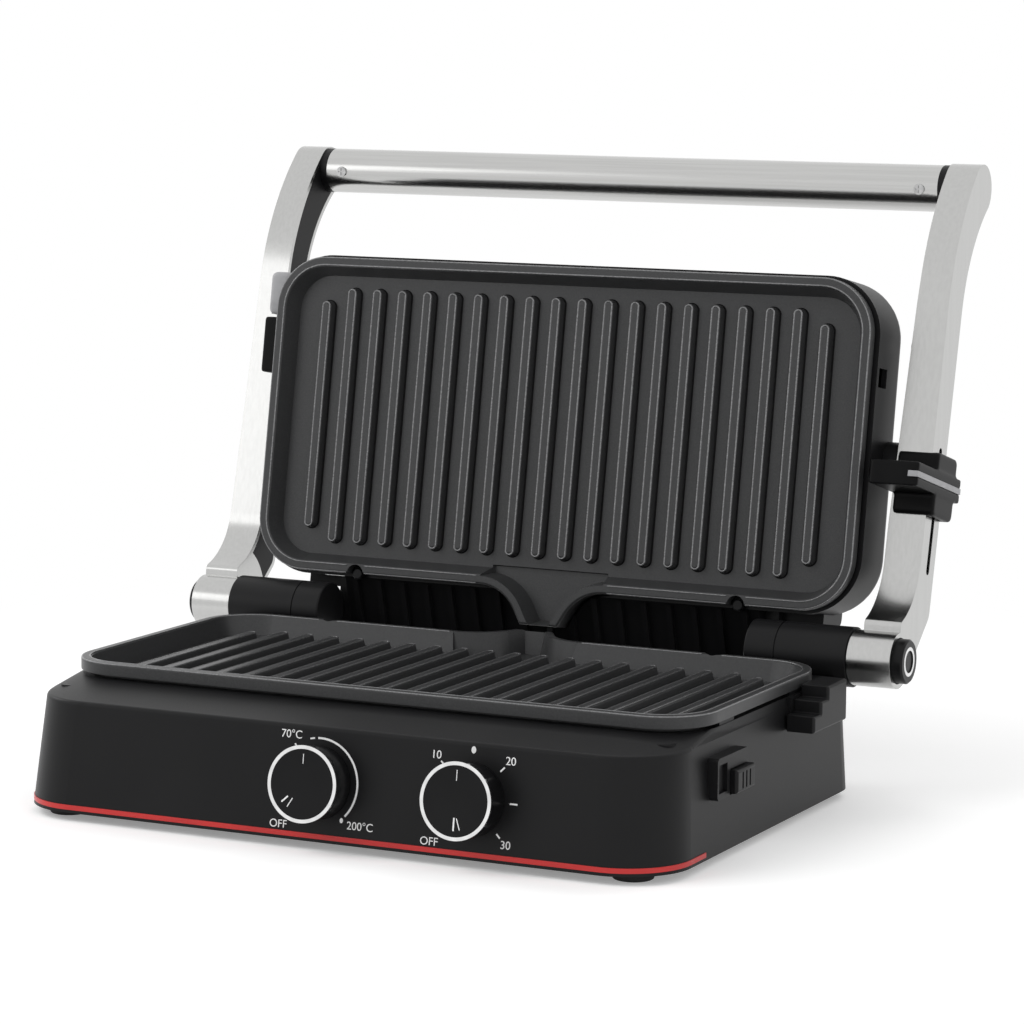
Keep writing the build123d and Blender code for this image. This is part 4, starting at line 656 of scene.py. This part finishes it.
def buildRimHighlight(name, ring, plateFrame, body):  # a thin raised line along one edge of the rim, in a light colour that paints the edge's highlight
    clearSelection()
    bpy.ops.mesh.primitive_plane_add(size=2)
    path = bpy.context.active_object
    path.scale = (*ring["half"], 1)
    bakePlace(path)
    openEdit(path, "VERT")
    bpy.ops.mesh.select_all(action="SELECT")
    bpy.ops.mesh.bevel(
        offset=ring["corner"], segments=rimLook["cornerSteps"], affect="VERTICES",
    )
    bpy.ops.mesh.select_all(action="SELECT")
    bpy.ops.mesh.delete(type="ONLY_FACE")
    for key in ("spoutHalf", "notchFrom", "notchTo"):
        for side in (-1, 1):
            bpy.ops.mesh.select_all(action="SELECT")
            bpy.ops.mesh.bisect(plane_co=(side * rimLook[key], 0, 0), plane_no=(1, 0, 0))
    reach = rimLook["reach"]
    rear = ring["half"][1] - reach
    gaps = [
        (-rimLook["spoutHalf"], rimLook["spoutHalf"]),
        (rimLook["notchFrom"], rimLook["notchTo"]),
        (-rimLook["notchTo"], -rimLook["notchFrom"]),
    ]
    for low, high in gaps:
        pickVertices(path, lambda co: co.y > rear and low - reach < co.x < high + reach)
        bpy.ops.mesh.delete(type="EDGE")
    closeEdit()
    bpy.ops.object.convert(target="CURVE")
    path = bpy.context.active_object
    path.data.dimensions = "3D"
    path.data.bevel_depth = rimLook["bead"]
    path.data.bevel_resolution = rimLook["beadResolution"]
    path.data.use_fill_caps = True
    bpy.ops.object.convert(target="MESH")
    piece = bpy.context.active_object
    piece.name = name
    piece.data.name = name
    piece.matrix_world = plateFrame @ Matrix.Translation((0, 0, ring["height"]))
    bakePlace(piece)
    openEdit(piece)
    bpy.ops.mesh.select_all(action="SELECT")
    bpy.ops.mesh.normals_make_consistent(inside=False)
    closeEdit()
    selectOnly(piece)
    bpy.ops.object.shade_smooth_by_angle(angle=radians(rimLook["smoothBelow"]))
    dress(piece, "ribEdge")
    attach(piece, body)


plates = [("lower", lowerPlateFrame, bodyOf("lower_grill_plate")),
          ("upper", upperPlateFrame, bodyOf("upper_grill_plate"))]
for name, plateFrame, body in plates:
    buildRimHighlight(name + "RimOuterEdge", rimLook["outer"], plateFrame, body)
    buildRimHighlight(name + "RimInnerEdge", rimLook["inner"], plateFrame, body)
    # a near-black bead round each rib's foot, painted shade in the crease between rib and floor
    buildRibBeads(name + "RibFeet", plateFrame, body, plateLook["footHalfWidth"],
                  plateLook["footBead"], 0, 0, "deepBlack")
    # a light bead along each rib's top edge, a painted highlight
    buildRibBeads(name + "RibEdges", plateFrame, body, plateLook["topHalfWidth"],
                  plateLook["topBead"], plateLook["topInset"],
                  plateLook["ribHeight"] - plateLook["edgeSink"], "ribEdge")
buildNotchTabs("lowerNotchTabs", lowerPlateFrame, "base")
buildNotchTabs("upperNotchTabs", upperPlateFrame, "lid")
print("rib beads and notch tabs placed")


# small pieces

gripPad = {  # grey cap on the lid's finger grip, above the upper release button
    "x": (-0.1676, -0.1560), "v": (0.1462, 0.1676), "w": (-0.0201, -0.0079), "round": 0.003,
    "roundSteps": 5, "smoothBelow": 40,
}


def buildGripPad():
    clearSelection()
    bpy.ops.mesh.primitive_cube_add(size=1)
    piece = bpy.context.active_object
    piece.name = "gripPad"
    low = [gripPad[key][0] for key in "xvw"]
    high = [gripPad[key][1] for key in "xvw"]
    size = [top - bottom for bottom, top in zip(low, high)]
    center = [(top + bottom) / 2 for bottom, top in zip(low, high)]
    turn = Matrix((Vector((1, 0, 0)), lidUp, lidOut)).transposed().to_4x4()
    piece.matrix_world = (
        Matrix.Translation(lidPoint(*center)) @ turn @ Matrix.Diagonal((*size, 1))
    )
    bakePlace(piece)
    openEdit(piece)
    bpy.ops.mesh.select_all(action="SELECT")
    bpy.ops.mesh.normals_make_consistent(inside=False)
    bpy.ops.mesh.bevel(
        offset=gripPad["round"], segments=gripPad["roundSteps"], affect="EDGES",
    )
    closeEdit()
    selectOnly(piece)
    bpy.ops.object.shade_smooth_by_angle(angle=radians(gripPad["smoothBelow"]))
    dress(piece, "stripeGrey")
    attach(piece, "lid")


buildGripPad()
print("small pieces placed")


# light, floor and camera

stage = {
    "worldLight": 0.52,
    "floorSize": 30.0,
    "floorColor": (0.93, 0.93, 0.93),
    "floorGlow": 0.26,
    "floorRoughness": 0.9,
    "fadeFrom": 0.21,
    "fadeTo": 0.60,
    "lamps": [  # name, place, size, power, seen in gloss
        ("keyLamp", (-1.7, -1.5, 2.3), 2.0, 34, False),
        ("fillLamp", (2.2, -1.2, 1.2), 2.2, 14, False),
        ("rearLamp", (0.3, 2.0, 2.6), 2.4, 22, False),
        ("edgeLamp", (-2.4, 0.4, 1.6), 0.9, 9, True),
        ("leftGlow", (-1.30, -1.25, 0.80), 0.8, 2.2, True),
    ],
    "aim": (0, 0, 0.12),
}


def seenDirectly(tree):  # 1 where the camera, a reflection or a see-through surface looks
    path = tree.nodes.new("ShaderNodeLightPath")
    first = tree.nodes.new("ShaderNodeMath")
    first.operation = "MAXIMUM"
    second = tree.nodes.new("ShaderNodeMath")
    second.operation = "MAXIMUM"
    tree.links.new(path.outputs["Is Camera Ray"], first.inputs[0])
    tree.links.new(path.outputs["Is Glossy Ray"], first.inputs[1])
    tree.links.new(first.outputs[0], second.inputs[0])
    tree.links.new(path.outputs["Is Transmission Ray"], second.inputs[1])
    return second


def buildWorld():
    world = bpy.data.worlds.new("softWhite")
    world.use_nodes = True
    bpy.context.scene.world = world
    tree = world.node_tree
    ambient = tree.nodes["Background"]
    ambient.inputs["Color"].default_value = (1, 1, 1, 1)
    ambient.inputs["Strength"].default_value = stage["worldLight"]
    seen = tree.nodes.new("ShaderNodeBackground")
    seen.inputs["Color"].default_value = (1, 1, 1, 1)
    seen.inputs["Strength"].default_value = 1.0
    mix = tree.nodes.new("ShaderNodeMixShader")
    tree.links.new(seenDirectly(tree).outputs[0], mix.inputs["Fac"])
    tree.links.new(ambient.outputs[0], mix.inputs[1])
    tree.links.new(seen.outputs[0], mix.inputs[2])
    tree.links.new(mix.outputs[0], tree.nodes["World Output"].inputs["Surface"])


def buildFloor():
    clearSelection()
    bpy.ops.mesh.primitive_plane_add(size=stage["floorSize"], location=(0, 0, 0))
    floor = bpy.context.active_object
    floor.name = "studioFloor"
    material = bpy.data.materials.new("floorWhite")
    material.use_nodes = True
    tree = material.node_tree
    shader = tree.nodes["Principled BSDF"]
    shader.inputs["Base Color"].default_value = (*stage["floorColor"], 1)
    shader.inputs["Roughness"].default_value = stage["floorRoughness"]
    shader.inputs["Specular IOR Level"].default_value = 0.0
    glow = tree.nodes.new("ShaderNodeEmission")
    glow.inputs["Strength"].default_value = stage["floorGlow"]
    both = tree.nodes.new("ShaderNodeAddShader")
    tree.links.new(shader.outputs[0], both.inputs[0])
    tree.links.new(glow.outputs[0], both.inputs[1])
    white = tree.nodes.new("ShaderNodeEmission")
    white.inputs["Strength"].default_value = 1.0
    place = tree.nodes.new("ShaderNodeTexCoord")
    distance = tree.nodes.new("ShaderNodeVectorMath")
    distance.operation = "LENGTH"
    fade = tree.nodes.new("ShaderNodeMapRange")
    fade.interpolation_type = "SMOOTHSTEP"
    fade.inputs["From Min"].default_value = stage["fadeFrom"]
    fade.inputs["From Max"].default_value = stage["fadeTo"]
    tree.links.new(place.outputs["Object"], distance.inputs[0])
    tree.links.new(distance.outputs["Value"], fade.inputs["Value"])
    faded = tree.nodes.new("ShaderNodeMixShader")  # plain white away from the object
    tree.links.new(fade.outputs["Result"], faded.inputs["Fac"])
    tree.links.new(both.outputs[0], faded.inputs[1])
    tree.links.new(white.outputs[0], faded.inputs[2])
    mix = tree.nodes.new("ShaderNodeMixShader")
    tree.links.new(seenDirectly(tree).outputs[0], mix.inputs["Fac"])
    tree.links.new(shader.outputs[0], mix.inputs[1])
    tree.links.new(faded.outputs[0], mix.inputs[2])
    tree.links.new(mix.outputs[0], tree.nodes["Material Output"].inputs["Surface"])
    floor.data.materials.append(material)


def buildLamps():
    for name, place, size, power, seenInGloss in stage["lamps"]:
        bpy.ops.object.light_add(type="AREA", location=place)
        lamp = bpy.context.active_object
        lamp.name = name
        lamp.data.shape = "SQUARE"
        lamp.data.size = size
        lamp.data.energy = power
        lamp.visible_glossy = seenInGloss
        direction = Vector(stage["aim"]) - Vector(place)
        lamp.rotation_euler = direction.to_track_quat("-Z", "Y").to_euler()


camera = {
    "place": (0.7776, -1.56165, 0.3690),
    "turn": radians(26.06),  # round the vertical, from straight in front
    "height": radians(7.81),  # above the level
    "roll": radians(0.39),
    "lens": 133.0,
    "sensor": 36.0,  # millimetres, as the lens
    "clipStart": 0.05,
}


def buildCamera():
    back = Vector((
        sin(camera["turn"]) * cos(camera["height"]),
        -cos(camera["turn"]) * cos(camera["height"]),
        sin(camera["height"]),
    ))
    level = Vector((cos(camera["turn"]), sin(camera["turn"]), 0))
    upright = back.cross(level)
    rightward = level * cos(camera["roll"]) + upright * sin(camera["roll"])
    upward = back.cross(rightward)
    bpy.ops.object.camera_add()
    view = bpy.context.active_object
    view.name = "photoCamera"
    turn = Matrix((rightward, upward, back)).transposed().to_4x4()
    view.matrix_world = Matrix.Translation(camera["place"]) @ turn
    view.data.lens = camera["lens"]
    view.data.sensor_width = camera["sensor"]
    view.data.clip_start = camera["clipStart"]
    bpy.context.scene.camera = view


buildWorld()
buildFloor()
buildLamps()
buildCamera()
bpy.context.scene.view_settings.view_transform = "Standard"
print("stage and camera set")
